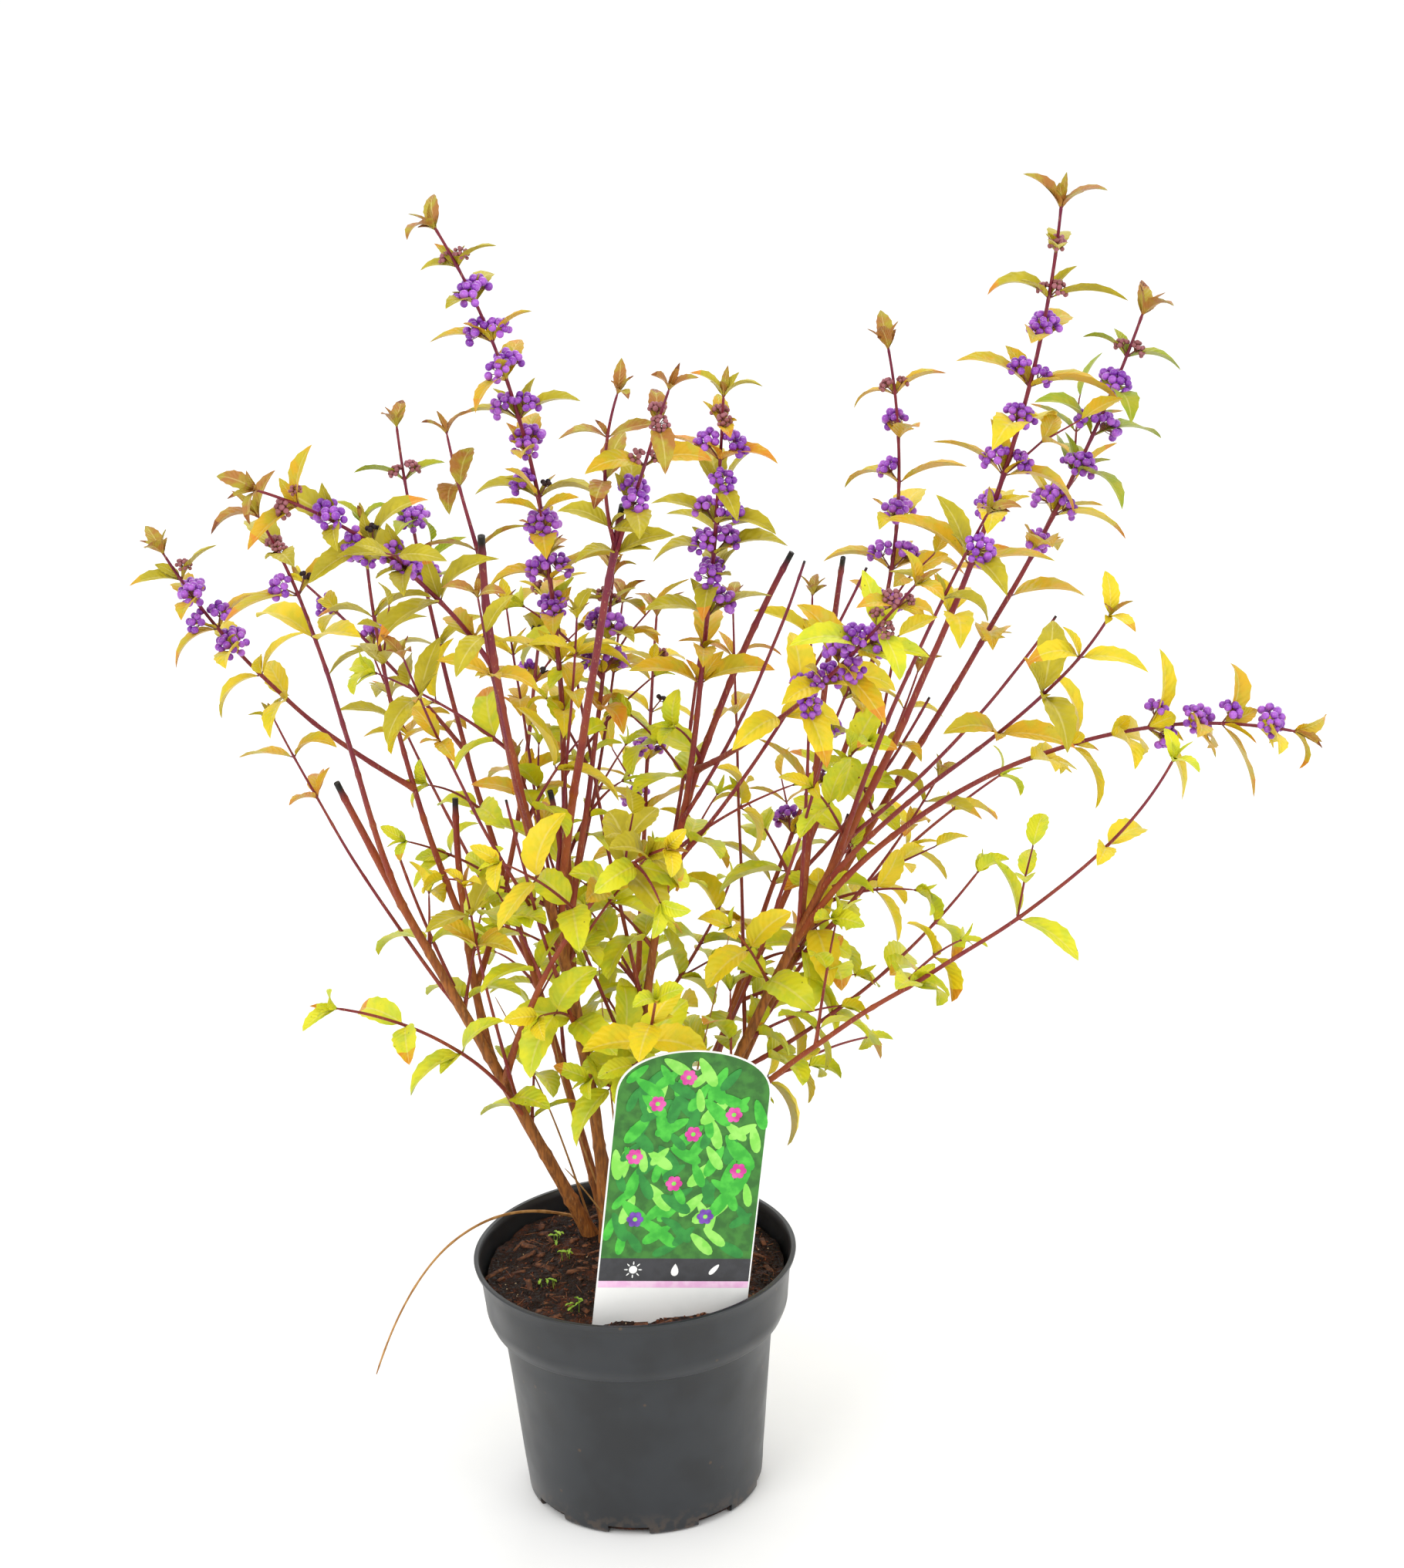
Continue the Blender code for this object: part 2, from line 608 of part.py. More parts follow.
def leaf_solid(root, heading, upside, length, width, droop, grow=0.0):
    """A leaf's points and faces: a pointed root sunk in the stem, a keeled blade and a drooping tip."""
    across = heading.cross(upside).normalized()
    down = Vector((0, 0, -1))
    half = width / 2 + grow
    keel = LEAF_KEEL * length + grow
    middle = root + heading * length * LEAF_WIDEST + down * length * droop * LEAF_WIDEST ** 2
    tip = root + heading * (length + grow) + down * length * droop
    edge = middle + upside * LEAF_FOLD * width
    foot = root + heading * LEAF_ROOT
    points = [foot, edge + across * half, edge - across * half, middle - upside * keel, tip]
    faces = [[0, 2, 1], [0, 3, 2], [0, 1, 3], [4, 1, 2], [4, 2, 3], [4, 3, 1]]
    return points, faces


def lump_solid(centre, along, upside, length, depth):
    """A cluster of fruit as one lump of 20 faces, longest along the leaf pair."""
    golden = (1 + math.sqrt(5)) / 2
    across = along.cross(upside).normalized()
    corners = []
    for a in (-1, 1):
        for b in (-golden, golden):
            corners += [(0, a, b), (a, b, 0), (b, 0, a)]
    scale = 1 / math.hypot(1, golden)
    points = []
    for x, y, z in corners:
        points.append(centre + (along * x * length + across * y * depth + upside * z * depth) * scale)
    shape = bmesh.new()
    for point in points:
        shape.verts.new(point)
    bmesh.ops.convex_hull(shape, input=list(shape.verts))
    shape.verts.index_update()
    points = [vertex.co.copy() for vertex in shape.verts]
    faces = [[vertex.index for vertex in face.verts] for face in shape.faces]
    shape.free()
    return points, faces


def pair_frame(stem, share, turn):
    """The stem's heading, and the direction across it in which a leaf pair spreads."""
    heading = heading_at(stem, share)
    level = heading.cross(Vector((0, 0, 1)))
    if level.length < 0.25:
        level = heading.cross(Vector((1, 0.2, 0)))
    level.normalize()
    rise = level.cross(heading)
    return heading, level * math.cos(turn) + rise * math.sin(turn)


def leaf_size(along):
    """The share of the stem's longest leaf at a share of its foliage: smaller at the foot, least at the tip."""
    swell = math.sin(math.pi * (0.32 + 0.62 * along)) ** 0.8
    return LEAST_LEAF + (1 - LEAST_LEAF) * swell


def foliage_of(stem, draw):
    """The stem's side twigs, leaves and fruit, from its foliage's foot to its tip.

    Each is a list of (points, faces, guard points), where the first carries the others. Pairs stand crosswise
    on each other, and the leaf blades turn their upper sides to the light and droop.
    """
    pieces = []
    start = stem.bare + (FIRST_PAIR if stem.bare else FIRST_PAIR_ON_TWIG)
    twig_nodes = [round((k + 0.6) * stem.pairs / (stem.twigs + 1.2)) for k in range(stem.twigs)]
    for k in range(stem.pairs):
        along = k / max(1, stem.pairs - 1)
        share = start + (LAST_PAIR - start) * along ** 0.92
        turn = math.pi / 2 * (k % 2) + draw.uniform(-PAIR_TURN_VARIES, PAIR_TURN_VARIES) + PAIR_TURN
        heading, spread = pair_frame(stem, share, turn)
        root = centre_at(stem, share)
        full = stem.leaf * leaf_size(along)
        for side in (-1, 1):
            lift = math.radians(draw.uniform(*(LEAF_LIFT if k < stem.pairs - 1 else TIP_LEAF_LIFT)))
            length = full * draw.uniform(*LEAF_VARIES)
            droop = draw.uniform(*LEAF_DROOP)
            pieces.append([leaf_piece(root, heading, spread * side, lift, length, stem.width, droop)])
        if k in twig_nodes:
            pieces.append(twig_pieces(stem, root, heading, spread, draw))
        if stem.fruit[0] <= along <= stem.fruit[1] and stem.fruit[0] < 1:
            size = draw.uniform(*FRUIT_VARIES)
            centre = root + heading * FRUIT_RISE
            points, faces = lump_solid(centre, spread, heading, FRUIT_LENGTH * size, FRUIT_DEPTH * size)
            pieces.append([(points, faces, points)])
    return pieces


def leaf_piece(root, heading, spread, lift, length, width_share, droop):
    """One leaf that leaves the stem at the angle lift, turned to the light."""
    out = (heading * math.cos(lift) + spread * math.sin(lift)).normalized()
    upside = heading * math.sin(lift) - spread * math.cos(lift) + Vector((0, 0, LEAF_TO_LIGHT))
    upside = (upside - out * upside.dot(out)).normalized()
    width = length * width_share
    points, faces = leaf_solid(root, out, upside, length, width, droop)
    guard, _ = leaf_solid(root + out * LEAF_GUARD, out, upside, length, width, droop, LEAF_GUARD / 2)
    return points, faces, guard


def twig_pieces(stem, root, heading, spread, draw):
    """A side twig in a leaf's axil, with a pair of leaves and one at its tip."""
    length = stem.leaf * draw.uniform(*TWIG_LENGTH)
    lean = draw.choice((-1, 1))
    out = (heading + spread * lean * TWIG_SPREAD + Vector((0, 0, TWIG_RISE))).normalized()
    places = [root, root + out * length * 0.5, root + out * length - Vector((0, 0, TWIG_SAG * length))]
    points, faces = tube(places, [TWIG_RADIUS, TWIG_RADIUS, TWIG_RADIUS * 0.8], TWIG_SIDES)
    guard, _ = tube(places, [TWIG_RADIUS + LEAF_GUARD / 2] * 3, TWIG_SIDES)
    pieces = [(points, faces, guard)]
    level = out.cross(Vector((0, 0, 1))).normalized()
    leaf = stem.leaf * TWIG_LEAF_SHARE
    middle = places[1]
    for side in (-1, 1):
        lift = math.radians(draw.uniform(*LEAF_LIFT))
        size = leaf * draw.uniform(*LEAF_VARIES)
        pieces.append(leaf_piece(middle, out, level * side, lift, size, stem.width, LEAF_DROOP[0]))
    tip = places[2] - out * TWIG_RADIUS * 2
    size = leaf * draw.uniform(*LEAF_VARIES)
    pieces.append(leaf_piece(tip, out, level, math.radians(8), size, stem.width, LEAF_DROOP[0]))
    return pieces


def tree_of(points, faces):
    """A search tree of a mesh."""
    return BVHTree.FromPolygons([tuple(point) for point in points], faces)


def tree_of_object(obj):
    """A search tree of an object's mesh."""
    mesh = obj.data
    return tree_of([vertex.co for vertex in mesh.vertices], [list(face.vertices) for face in mesh.polygons])


def keeps_clear(piece, others):
    """Whether the piece, a little grown, touches no limb and no other mass."""
    guard = tree_of(piece[2], piece[1])
    return not any(guard.overlap(other) for other in others)


def in_reach(stem, piece):
    """Whether the piece stays in its mass's space: near its own stem, above the soil, off the label."""
    reach = stem.leaf * LEAF_REACH * (2.0 if stem.twigs else 1.0) + 0.004
    line = [centre_at(stem, stem.bare + (1 - stem.bare) * i / 8) for i in range(9)]
    for point in piece[0]:
        if min((point - place).length for place in line) > reach:
            return False
        if point.z < LOWEST_LEAF:
            return False
    return True


def mass_stem(stem):
    """The stem inside a mass: it starts the gap past the limb's end, or on the carrier's centre line."""
    first = stem.bare + (GAP / length_of(stem) if stem.bare else 0)
    return stem_tube(stem, first, 1, TWIG_SIDES, grow=TWIG_GROWTH)


def mass_name(stem):
    """A mass is named for its stem."""
    return "foliage_" + stem.name.replace("stem_", "").replace("bough_", "").replace("arm_", "")


def make_mass(stem, stem_object, others, number):
    """Joins the leaves, twigs and fruit that keep clear onto the mass's stem."""
    draw = random.Random(100 + number)
    kept = []
    for carrier, *carried in foliage_of(stem, draw):
        if in_reach(stem, carrier) and keeps_clear(carrier, others):
            kept.append(carrier)
            kept += [piece for piece in carried if in_reach(stem, piece) and keeps_clear(piece, others)]
    join_all(stem_object, [add_object("piece", points, faces) for points, faces, _ in kept])
    if stem.bare == 0:
        cut_clear(stem_object, sleeve(BY_NAME[stem.carrier]), "MANIFOLD")
    return stem_object


def main():
    clear_scene()
    make_pot()
    label = make_label()
    make_soil(label_solid("slot", GAP + 0.0001))
    trees = {"label": tree_of_object(label)}
    for stem in STEMS:
        if stem.bare > 0:
            trees[stem.name] = tree_of_object(make_limb(stem))
    leafy = [stem for stem in STEMS if stem.pairs]
    stems = {}
    for stem in leafy:
        points, faces = mass_stem(stem)
        stems[stem.name] = add_object(mass_name(stem), points, faces, material("foliage", 0.5))
        trees["mass " + stem.name] = tree_of(points, faces)
    for number, stem in enumerate(leafy):
        own = "mass " + stem.name
        others = [tree for name, tree in trees.items() if name != own]
        made = make_mass(stem, stems[stem.name], others, number)
        trees[own] = tree_of_object(made)
    for obj in bpy.data.objects:
        if obj.name in ("pot", "soil"):
            obj.data.shade_smooth()
            obj.data.set_sharp_from_angle(angle=math.radians(35))


main()
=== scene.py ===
"""The looks of a potted beautyberry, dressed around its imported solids.

The stems repeat the solids' table and rule, so bark, twigs, leaves and fruit grow where the solids do. Finer
shoots, leaf stalks, fruit stalks and berries follow by seeded rules. Metres, +Z up, from the pot's underside.
"""

import json
import math
import random
from typing import NamedTuple

import bmesh
import bpy
from mathutils import Matrix, Vector, noise
from mathutils.bvhtree import BVHTree

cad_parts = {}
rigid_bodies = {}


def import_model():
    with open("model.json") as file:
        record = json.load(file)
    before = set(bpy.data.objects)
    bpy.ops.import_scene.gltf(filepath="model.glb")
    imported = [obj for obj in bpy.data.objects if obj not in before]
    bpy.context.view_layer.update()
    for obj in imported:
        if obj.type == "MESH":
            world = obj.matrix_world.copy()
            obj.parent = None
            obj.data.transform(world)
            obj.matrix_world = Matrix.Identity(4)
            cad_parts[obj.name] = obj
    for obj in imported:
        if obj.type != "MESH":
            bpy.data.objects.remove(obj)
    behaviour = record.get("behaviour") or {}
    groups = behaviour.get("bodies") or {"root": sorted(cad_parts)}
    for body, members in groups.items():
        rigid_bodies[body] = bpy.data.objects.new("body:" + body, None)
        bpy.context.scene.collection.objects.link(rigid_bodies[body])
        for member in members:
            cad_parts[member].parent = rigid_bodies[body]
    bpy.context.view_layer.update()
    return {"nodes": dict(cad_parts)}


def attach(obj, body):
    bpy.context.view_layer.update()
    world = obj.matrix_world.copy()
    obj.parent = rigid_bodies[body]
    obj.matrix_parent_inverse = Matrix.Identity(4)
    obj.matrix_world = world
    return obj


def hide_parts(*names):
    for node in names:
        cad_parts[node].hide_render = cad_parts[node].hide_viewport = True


MM = 0.001
UP = Vector((0, 0, 1))
GOLDEN_ANGLE = math.pi * (3 - math.sqrt(5))

# Pot
POT_HEIGHT = 0.1495
RIM_RADIUS = 0.093
LIP_HEIGHT = 0.003
LIP_DEPTH = 0.0015
COLLAR_DROP = 0.0405
COLLAR_TOP_RADIUS = 0.0905
COLLAR_SIDE_RADIUS = 0.0875
COLLAR_FOOT_RADIUS = 0.0845
COLLAR_CURVE = 0.012
BODY_TOP_RADIUS = 0.078
BASE_RADIUS = 0.0684
BASE_ROUNDING = 0.003
WALL = 0.0016
FLOOR = 0.0025
POT_SIDES = 144
DRAIN_SLOTS = 8
DRAIN_TURN = 0.24
SLOT_WIDTH = 0.024
SLOT_HEIGHT = 0.0055
SLOT_DEPTH = 0.009
SLOT_MARGIN = 0.005
BODY_END = 0.003
COLLAR_FOOT_ROUNDING = 0.002
SOFT_EDGE = 0.0006
WALL_SWAY = 0.0004

# Soil
SOIL_TOP = 0.140
SOIL_SIDES = 160
SOIL_RINGS = 56
FEET_RADIUS = 0.062
SOIL_GAP = 0.0004
SPROUT_SPOTS = ((-0.048, 0.030), (-0.040, 0.012), (-0.050, -0.022), (-0.036, -0.050), (0.058, -0.034),
                (0.050, 0.045))
SPROUTS_AT_SPOT = 4
SPROUT_HEIGHT = (0.003, 0.007)
SPROUT_LEAF = (0.0025, 0.004)

# Label
LABEL_PLACE = (0.019, -0.0645, SOIL_TOP)
LABEL_WIDTH = 0.088
LABEL_SHOULDER = 0.134
LABEL_APEX = 0.162
LABEL_FOOT = 0.012
LABEL_THICKNESS = 0.0008
LABEL_ARCH_STEPS = 40
LABEL_ARCH_SQUARENESS = 0.8
LABEL_LEAN = 0.03
LABEL_ROLL = 0.15
LABEL_YAW = 0.19
HANGER_HOLE_RADIUS = 0.0028
HANGER_HOLE_DROP = 0.009
INK = 0.00008
PRINT_MARGIN = 0.0008
PICTURE_FOOT = 0.036
STRIP_FOOT = 0.022
LINE_FOOT = 0.018
PRINT_ROWS = 15
PRINT_COLUMNS = 9
PRINT_LEAF = (0.014, 0.023)
PRINT_LEAF_WIDTH = 0.42
BLOOMS = ((-0.026, 0.060), (-0.006, 0.082), (0.014, 0.062), (0.030, 0.090), (-0.030, 0.098),
          (0.002, 0.112), (0.024, 0.124), (-0.020, 0.130), (-0.004, 0.146))
VIOLET_BLOOMS_UNDER = 0.065
PETALS = 6
SIGN_HEIGHT = 0.029
SUN_ACROSS = -0.024

# Leaves and twigs, as the solids have them. A pair of numbers is the least and the most of what is drawn.
LEAF_WIDTH_SHARE = 0.38
BROAD_LEAF = 0.55
LEAF_LIFT = (48, 66)
TIP_LEAF_LIFT = (22, 34)
LEAF_DROOP = (0.20, 0.48)
LEAF_VARIES = (0.82, 1.12)
LEAF_TO_LIGHT = 0.9
LEAST_LEAF = 0.42
PAIR_TURN = 0.3
PAIR_TURN_VARIES = 0.35
FIRST_PAIR = 0.03
FIRST_PAIR_ON_TWIG = 0.12
LAST_PAIR = 0.995
PAIR_CROWDING = 0.92
TWIG_RADIUS = 0.0008
TWIG_LEAF_SHARE = 0.7
TWIG_LENGTH = (1.0, 1.5)
TWIG_SPREAD = 0.8
TWIG_RISE = 0.25
TWIG_SAG = 0.12
TWIG_TIP_LIFT = 8
TWIG_TAPER = (1.0, 0.85, 0.6)
TWIG_AGE = 0.12
LOWEST_LEAF = POT_HEIGHT + 0.008
FRUIT_VARIES = (0.85, 1.15)
FOOT_FLARE = 0.3
FLARE_LENGTH = 0.012

# The blade that replaces a leaf of the solids, which is wider than life
TRUE_WIDTH = 0.98
BLADE_STEPS = 12
PETIOLE_SHARE = 0.07
PETIOLE_RADIUS = 0.0005
ARCH_OF_DROOP = 3.5
LIFT_SHARE = 0.86
AXIL_LEAF_SHARE = 0.55
AXIL_LEAF_SHARE_LOW = 0.12
AXIL_LEAF_SHARE_FULL = 0.95
FULL_STEMS = ("bough_right_long", "stem_plume_left", "bough_centre", "trunk_right", "left_long_side")
AXIL_LEAF_LIFT = (20, 50)
AXIL_LEAF_SIZE = (0.35, 0.65)
BUD_LIFT = (8, 20)
BUD_SIZE = 0.40
BUD_WIDTH_SHARE = 0.26
BLADE_THICKNESS = 0.00035
ARCH_VARIES = (0.75, 1.15)
BLADE_TWIST = (-0.5, 0.5)
BLADE_SICKLE = (-0.12, 0.12)
BLADE_FOLD = (0.45, 0.95)
BLADE_WAVE = (0.0, 0.10)
BROAD_OUTLINE = (0.60, 0.80)
SLIM_OUTLINE = (0.85, 1.10)
TOOTH_DEPTH = 0.10
TRIES_TO_CLEAR = 5

# Bark
RING_SPACING = 0.0036
JOINT_SPACING = 0.034
JOINT_SWELL = 0.20
JOINT_LENGTH = 0.0016
WANDER = 0.0008
WANDER_LENGTH = 0.045
WANDER_SEED = 5
SUNK_FOOT = 0.006
TIP_THINNING = 0.24
FORK_SWELL = 0.45
FORK_LENGTH = 0.005
ROUNDED_TIP = 0.55
THICK_STEM = 0.0018
DEAD_END = 0.010
THIN_DEAD_END = 0.004
OLD_WOOD_TOP = 0.56
OLD_WOOD_FADE = 0.24

# Fruit
BERRY_RADIUS = 0.00235
BERRIES = (9, 16)
STALK_LENGTH = (0.0055, 0.0095)
UNRIPE_SIZE = 0.55
DRIED_SHARE = 0.06
DRIED_SIZE = 0.62
DRIED_BERRIES = 5
BARE_AXIL_SHARE = 0.08
RIPE_VARIES = (0.9, 1.08)
BERRY_VARIES = (0.88, 1.10)


class Stem(NamedTuple):
    """One stem: where it stands, its shape, and what it carries, as in the solids' table."""

    name: str
    carrier: str
    root: object
    points: tuple
    radii: tuple
    bare: float
    pairs: int = 0
    leaf: float = 0.0
    fruit: tuple = (1.0, 1.0)
    twigs: int = 0
    width: float = LEAF_WIDTH_SHARE


STEMS = (
    Stem("trunk_left", "soil", (-0.027, 0.041),
         ((-0.075, 0.020, 0.260), (-0.130, 0.000, 0.395), (-0.150, -0.010, 0.450)), (0.0040, 0.0018), 1),
    Stem("trunk_middle", "soil", (-0.017, 0.030),
         ((-0.035, 0.012, 0.345), (-0.052, -0.020, 0.460), (-0.060, -0.060, 0.605)), (0.0038, 0.0021), 1),
    Stem("trunk_right", "soil", (0.016, 0.032),
         ((0.115, 0.035, 0.355), (0.230, 0.040, 0.620), (0.255, 0.040, 0.745)), (0.0036, 0.0011), 0.60,
         10, 0.052, (0.12, 0.80), 1),
    Stem("stem_left_rear", "soil", (-0.018, 0.054),
         ((-0.050, 0.077, 0.280), (-0.085, 0.110, 0.420), (-0.115, 0.150, 0.605)), (0.0028, 0.0010), 0.70,
         5, 0.036, (0.10, 0.55), 1),
    Stem("stem_plume_left", "soil", (-0.005, 0.046),
         ((-0.028, 0.042, 0.330), (-0.028, 0.037, 0.545), (-0.080, 0.030, 0.750)), (0.0027, 0.0010), 0.50,
         13, 0.044, (0.15, 0.93), 1),
    Stem("stem_centre", "soil", (0.003, 0.034),
         ((0.045, 0.040, 0.420), (0.105, 0.040, 0.555)), (0.0030, 0.0016), 1),
    Stem("stem_plume_centre", "soil", (0.011, 0.053),
         ((0.080, 0.075, 0.300), (0.140, 0.097, 0.435), (0.165, 0.130, 0.645)), (0.0028, 0.0010), 0.58,
         9, 0.044, (0.10, 0.85), 1),
    Stem("stem_plume_right", "soil", (0.026, 0.047),
         ((0.120, 0.080, 0.330), (0.230, 0.110, 0.500), (0.310, 0.140, 0.655)), (0.0032, 0.0011), 0.62,
         9, 0.050, (0.15, 0.80), 2),
    Stem("stem_low_right", "soil", (0.014, 0.018),
         ((0.075, -0.005, 0.250), (0.250, -0.065, 0.400), (0.300, -0.090, 0.475)), (0.0021, 0.0010), 0.50,
         4, 0.040, (1.0, 1.0), 1, 0.42),
    Stem("stem_back_middle", "soil", (-0.002, 0.062),
         ((0.010, 0.120, 0.300), (0.028, 0.190, 0.470)), (0.0026, 0.0010), 0.45,
         7, 0.042, (0.25, 0.85), 1),
    Stem("stem_back_right", "soil", (0.022, 0.059),
         ((0.085, 0.140, 0.300), (0.150, 0.215, 0.430)), (0.0026, 0.0010), 0.45,
         7, 0.042, (0.25, 0.85), 1),
    Stem("arm_left_middle", "trunk_left", 0.40,
         ((-0.088, 0.045, 0.340), (-0.090, 0.060, 0.410)), (0.0026, 0.0017), 1),
    Stem("arm_left_inner", "trunk_left", 0.35,
         ((-0.045, -0.015, 0.325), (-0.005, -0.055, 0.400), (0.030, -0.100, 0.440)), (0.0023, 0.0010), 0.68,
         4, 0.036, (1.0, 1.0), 1, BROAD_LEAF),
    Stem("bough_left_tall", "trunk_left", 0.74,
         ((-0.140, -0.030, 0.480), (-0.157, -0.055, 0.570), (-0.175, -0.070, 0.625)), (0.0020, 0.0010), 0.66,
         4, 0.050, (0.05, 0.60), 0),
    Stem("bough_left_back", "arm_left_middle", 0.50,
         ((-0.115, 0.070, 0.420), (-0.135, 0.110, 0.560)), (0.0021, 0.0010), 0.50,
         5, 0.036, (0.55, 0.95), 1),
    Stem("bough_back_left", "arm_left_middle", 0.28,
         ((-0.065, 0.078, 0.350), (-0.042, 0.170, 0.460), (-0.034, 0.205, 0.505)), (0.0020, 0.0010), 0.45,
         6, 0.040, (0.30, 0.80), 1),
    Stem("bough_far_left", "bough_left_back", 0.36,
         ((-0.178, 0.052, 0.475), (-0.240, 0.040, 0.570)), (0.0017, 0.0010), 0.42,
         7, 0.040, (0.20, 0.80), 0),
    Stem("low_left", "trunk_left", 0.27,
         ((-0.100, -0.020, 0.295), (-0.155, -0.062, 0.338)), (0.0014, 0.0010), 0,
         4, 0.040, (1.0, 1.0), 0, 0.42),
    Stem("left_rear_side", "stem_left_rear", 0.60,
         ((-0.118, 0.130, 0.455), (-0.177, 0.165, 0.508)), (0.0014, 0.0010), 0,
         5, 0.034, (0.30, 0.80), 0),
    Stem("arm_middle_cut", "trunk_middle", 0.42,
         ((-0.030, 0.008, 0.385), (-0.034, 0.002, 0.435)), (0.0022, 0.0016), 1),
    Stem("arm_middle_right", "trunk_middle", 0.39,
         ((-0.014, 0.030, 0.420), (0.006, 0.062, 0.540)), (0.0024, 0.0010), 0.62,
         5, 0.036, (0.10, 0.60), 1),
    Stem("bough_front_dark", "arm_middle_cut", 0.42,
         ((-0.003, -0.048, 0.535), (0.015, -0.080, 0.625)), (0.0024, 0.0019), 1),
    Stem("front_left_tip", "bough_front_dark", 0.90,
         ((0.008, -0.104, 0.660), (0.016, -0.122, 0.698)), (0.0012, 0.0009), 0,
         4, 0.034, (1.0, 1.0), 0),
    Stem("front_right_tip", "bough_front_dark", 0.82,
         ((0.030, -0.107, 0.662), (0.042, -0.132, 0.702)), (0.0013, 0.0009), 0,
         5, 0.038, (0.10, 0.45), 0),
    Stem("left_long_side", "trunk_middle", 0.82,
         ((-0.115, -0.088, 0.612), (-0.168, -0.132, 0.658)), (0.0015, 0.0010), 0,
         7, 0.043, (0.25, 0.80), 1),
    Stem("bronze_tip", "trunk_middle", 0.96,
         ((-0.069, -0.043, 0.617), (-0.077, -0.020, 0.650)), (0.0013, 0.0009), 0,
         3, 0.034, (1.0, 1.0), 0),
    Stem("bough_centre", "stem_centre", 0.62,
         ((0.060, -0.008, 0.560), (0.070, -0.032, 0.668)), (0.0019, 0.0010), 0.30,
         10, 0.043, (0.18, 0.85), 1),
    Stem("bough_front_right", "stem_centre", 0.68,
         ((0.095, -0.055, 0.495), (0.162, -0.152, 0.600)), (0.0019, 0.0010), 0.40,
         8, 0.044, (0.10, 0.75), 1),
    Stem("low_front", "stem_centre", 0.24,
         ((0.014, -0.040, 0.300), (0.020, -0.085, 0.345)), (0.0014, 0.0010), 0,
         5, 0.038, (1.0, 1.0), 1, BROAD_LEAF),
    Stem("low_back", "stem_back_middle", 0.30,
         ((0.035, 0.120, 0.270), (0.065, 0.170, 0.305)), (0.0014, 0.0010), 0,
         5, 0.038, (1.0, 1.0), 1, BROAD_LEAF),
    Stem("arm_right_cut", "trunk_right", 0.32,
         ((0.118, 0.052, 0.445), (0.132, 0.012, 0.560)), (0.0021, 0.0015), 1),
    Stem("bough_purple_side", "trunk_right", 0.40,
         ((0.165, -0.020, 0.505), (0.205, -0.072, 0.610)), (0.0017, 0.0010), 0.72,
         3, 0.040, (0.20, 0.95), 0),
    Stem("bough_right_front", "trunk_right", 0.36,
         ((0.170, -0.012, 0.430), (0.240, -0.095, 0.525), (0.262, -0.132, 0.572)), (0.0017, 0.0010), 0.55,
         4, 0.045, (1.0, 1.0), 0),
    Stem("bough_right_long", "trunk_right", 0.30,
         ((0.165, 0.022, 0.398), (0.300, 0.008, 0.455), (0.378, 0.000, 0.452)), (0.0021, 0.0011), 0.52,
         8, 0.050, (0.30, 0.90), 0),
    Stem("low_right_upper", "trunk_right", 0.17,
         ((0.165, 0.068, 0.300), (0.208, 0.090, 0.338)), (0.0015, 0.0010), 0,
         5, 0.038, (1.0, 1.0), 0, BROAD_LEAF),
    Stem("low_right_back", "stem_plume_right", 0.20,
         ((0.155, 0.128, 0.325), (0.228, 0.172, 0.365)), (0.0015, 0.0010), 0,
         6, 0.040, (1.0, 1.0), 1, 0.42),
    Stem("low_right_twig", "trunk_right", 0.09,
         ((0.085, 0.066, 0.222), (0.142, 0.118, 0.222)), (0.0012, 0.0009), 0,
         3, 0.036, (1.0, 1.0), 0, 0.42),
    Stem("dry_stalk", "soil", (-0.030, 0.058),
         ((-0.088, 0.020, 0.160), (-0.150, -0.045, 0.100)), (0.0010, 0.0007), 1),
)
BY_NAME = {stem.name: stem for stem in STEMS}

# Short leafy shoots low on the stems: the carrier, the first and last share of its length, and how many
LOW_SHOOTS = (
    ("trunk_left", 0.22, 0.66, 4), ("trunk_middle", 0.20, 0.72, 7), ("stem_centre", 0.16, 0.75, 8),
    ("stem_plume_left", 0.22, 0.52, 4), ("trunk_right", 0.10, 0.45, 5), ("stem_plume_right", 0.15, 0.50, 4),
    ("stem_left_rear", 0.25, 0.62, 3), ("stem_low_right", 0.20, 0.55, 3), ("stem_back_right", 0.20, 0.45, 2),
    ("arm_left_inner", 0.25, 0.90, 3), ("arm_middle_right", 0.2, 0.8, 3), ("stem_plume_centre", 0.2, 0.55, 4),
    ("stem_back_middle", 0.2, 0.45, 2),
)
# Thin upright shoots between the stems, in the same form
THIN_SHOOTS = (
    ("trunk_left", 0.25, 0.55, 3), ("trunk_middle", 0.20, 0.60, 5), ("stem_centre", 0.20, 0.65, 5),
    ("trunk_right", 0.15, 0.45, 4), ("stem_plume_right", 0.15, 0.45, 3), ("stem_left_rear", 0.15, 0.4, 2),
    ("stem_plume_centre", 0.15, 0.45, 2), ("arm_middle_right", 0.1, 0.5, 1),
)
LOW_SHOOT_LENGTH = (0.035, 0.085)
LOW_SHOOT_RADII = (0.0011, 0.0007)
LOW_LEAF = (0.032, 0.044)
THIN_SHOOT_LENGTH = (0.13, 0.27)
THIN_SHOOT_TOP = 0.60
THIN_SHOOT_RADII = (0.0013, 0.0008)
THIN_SHOOT_BARE = 0.72
THIN_LEAF = 0.034
DRY_TWIGS = 9
DRY_TWIG_TOP = (0.06, 0.20)
DRY_TWIG_RADII = (0.0008, 0.0004)

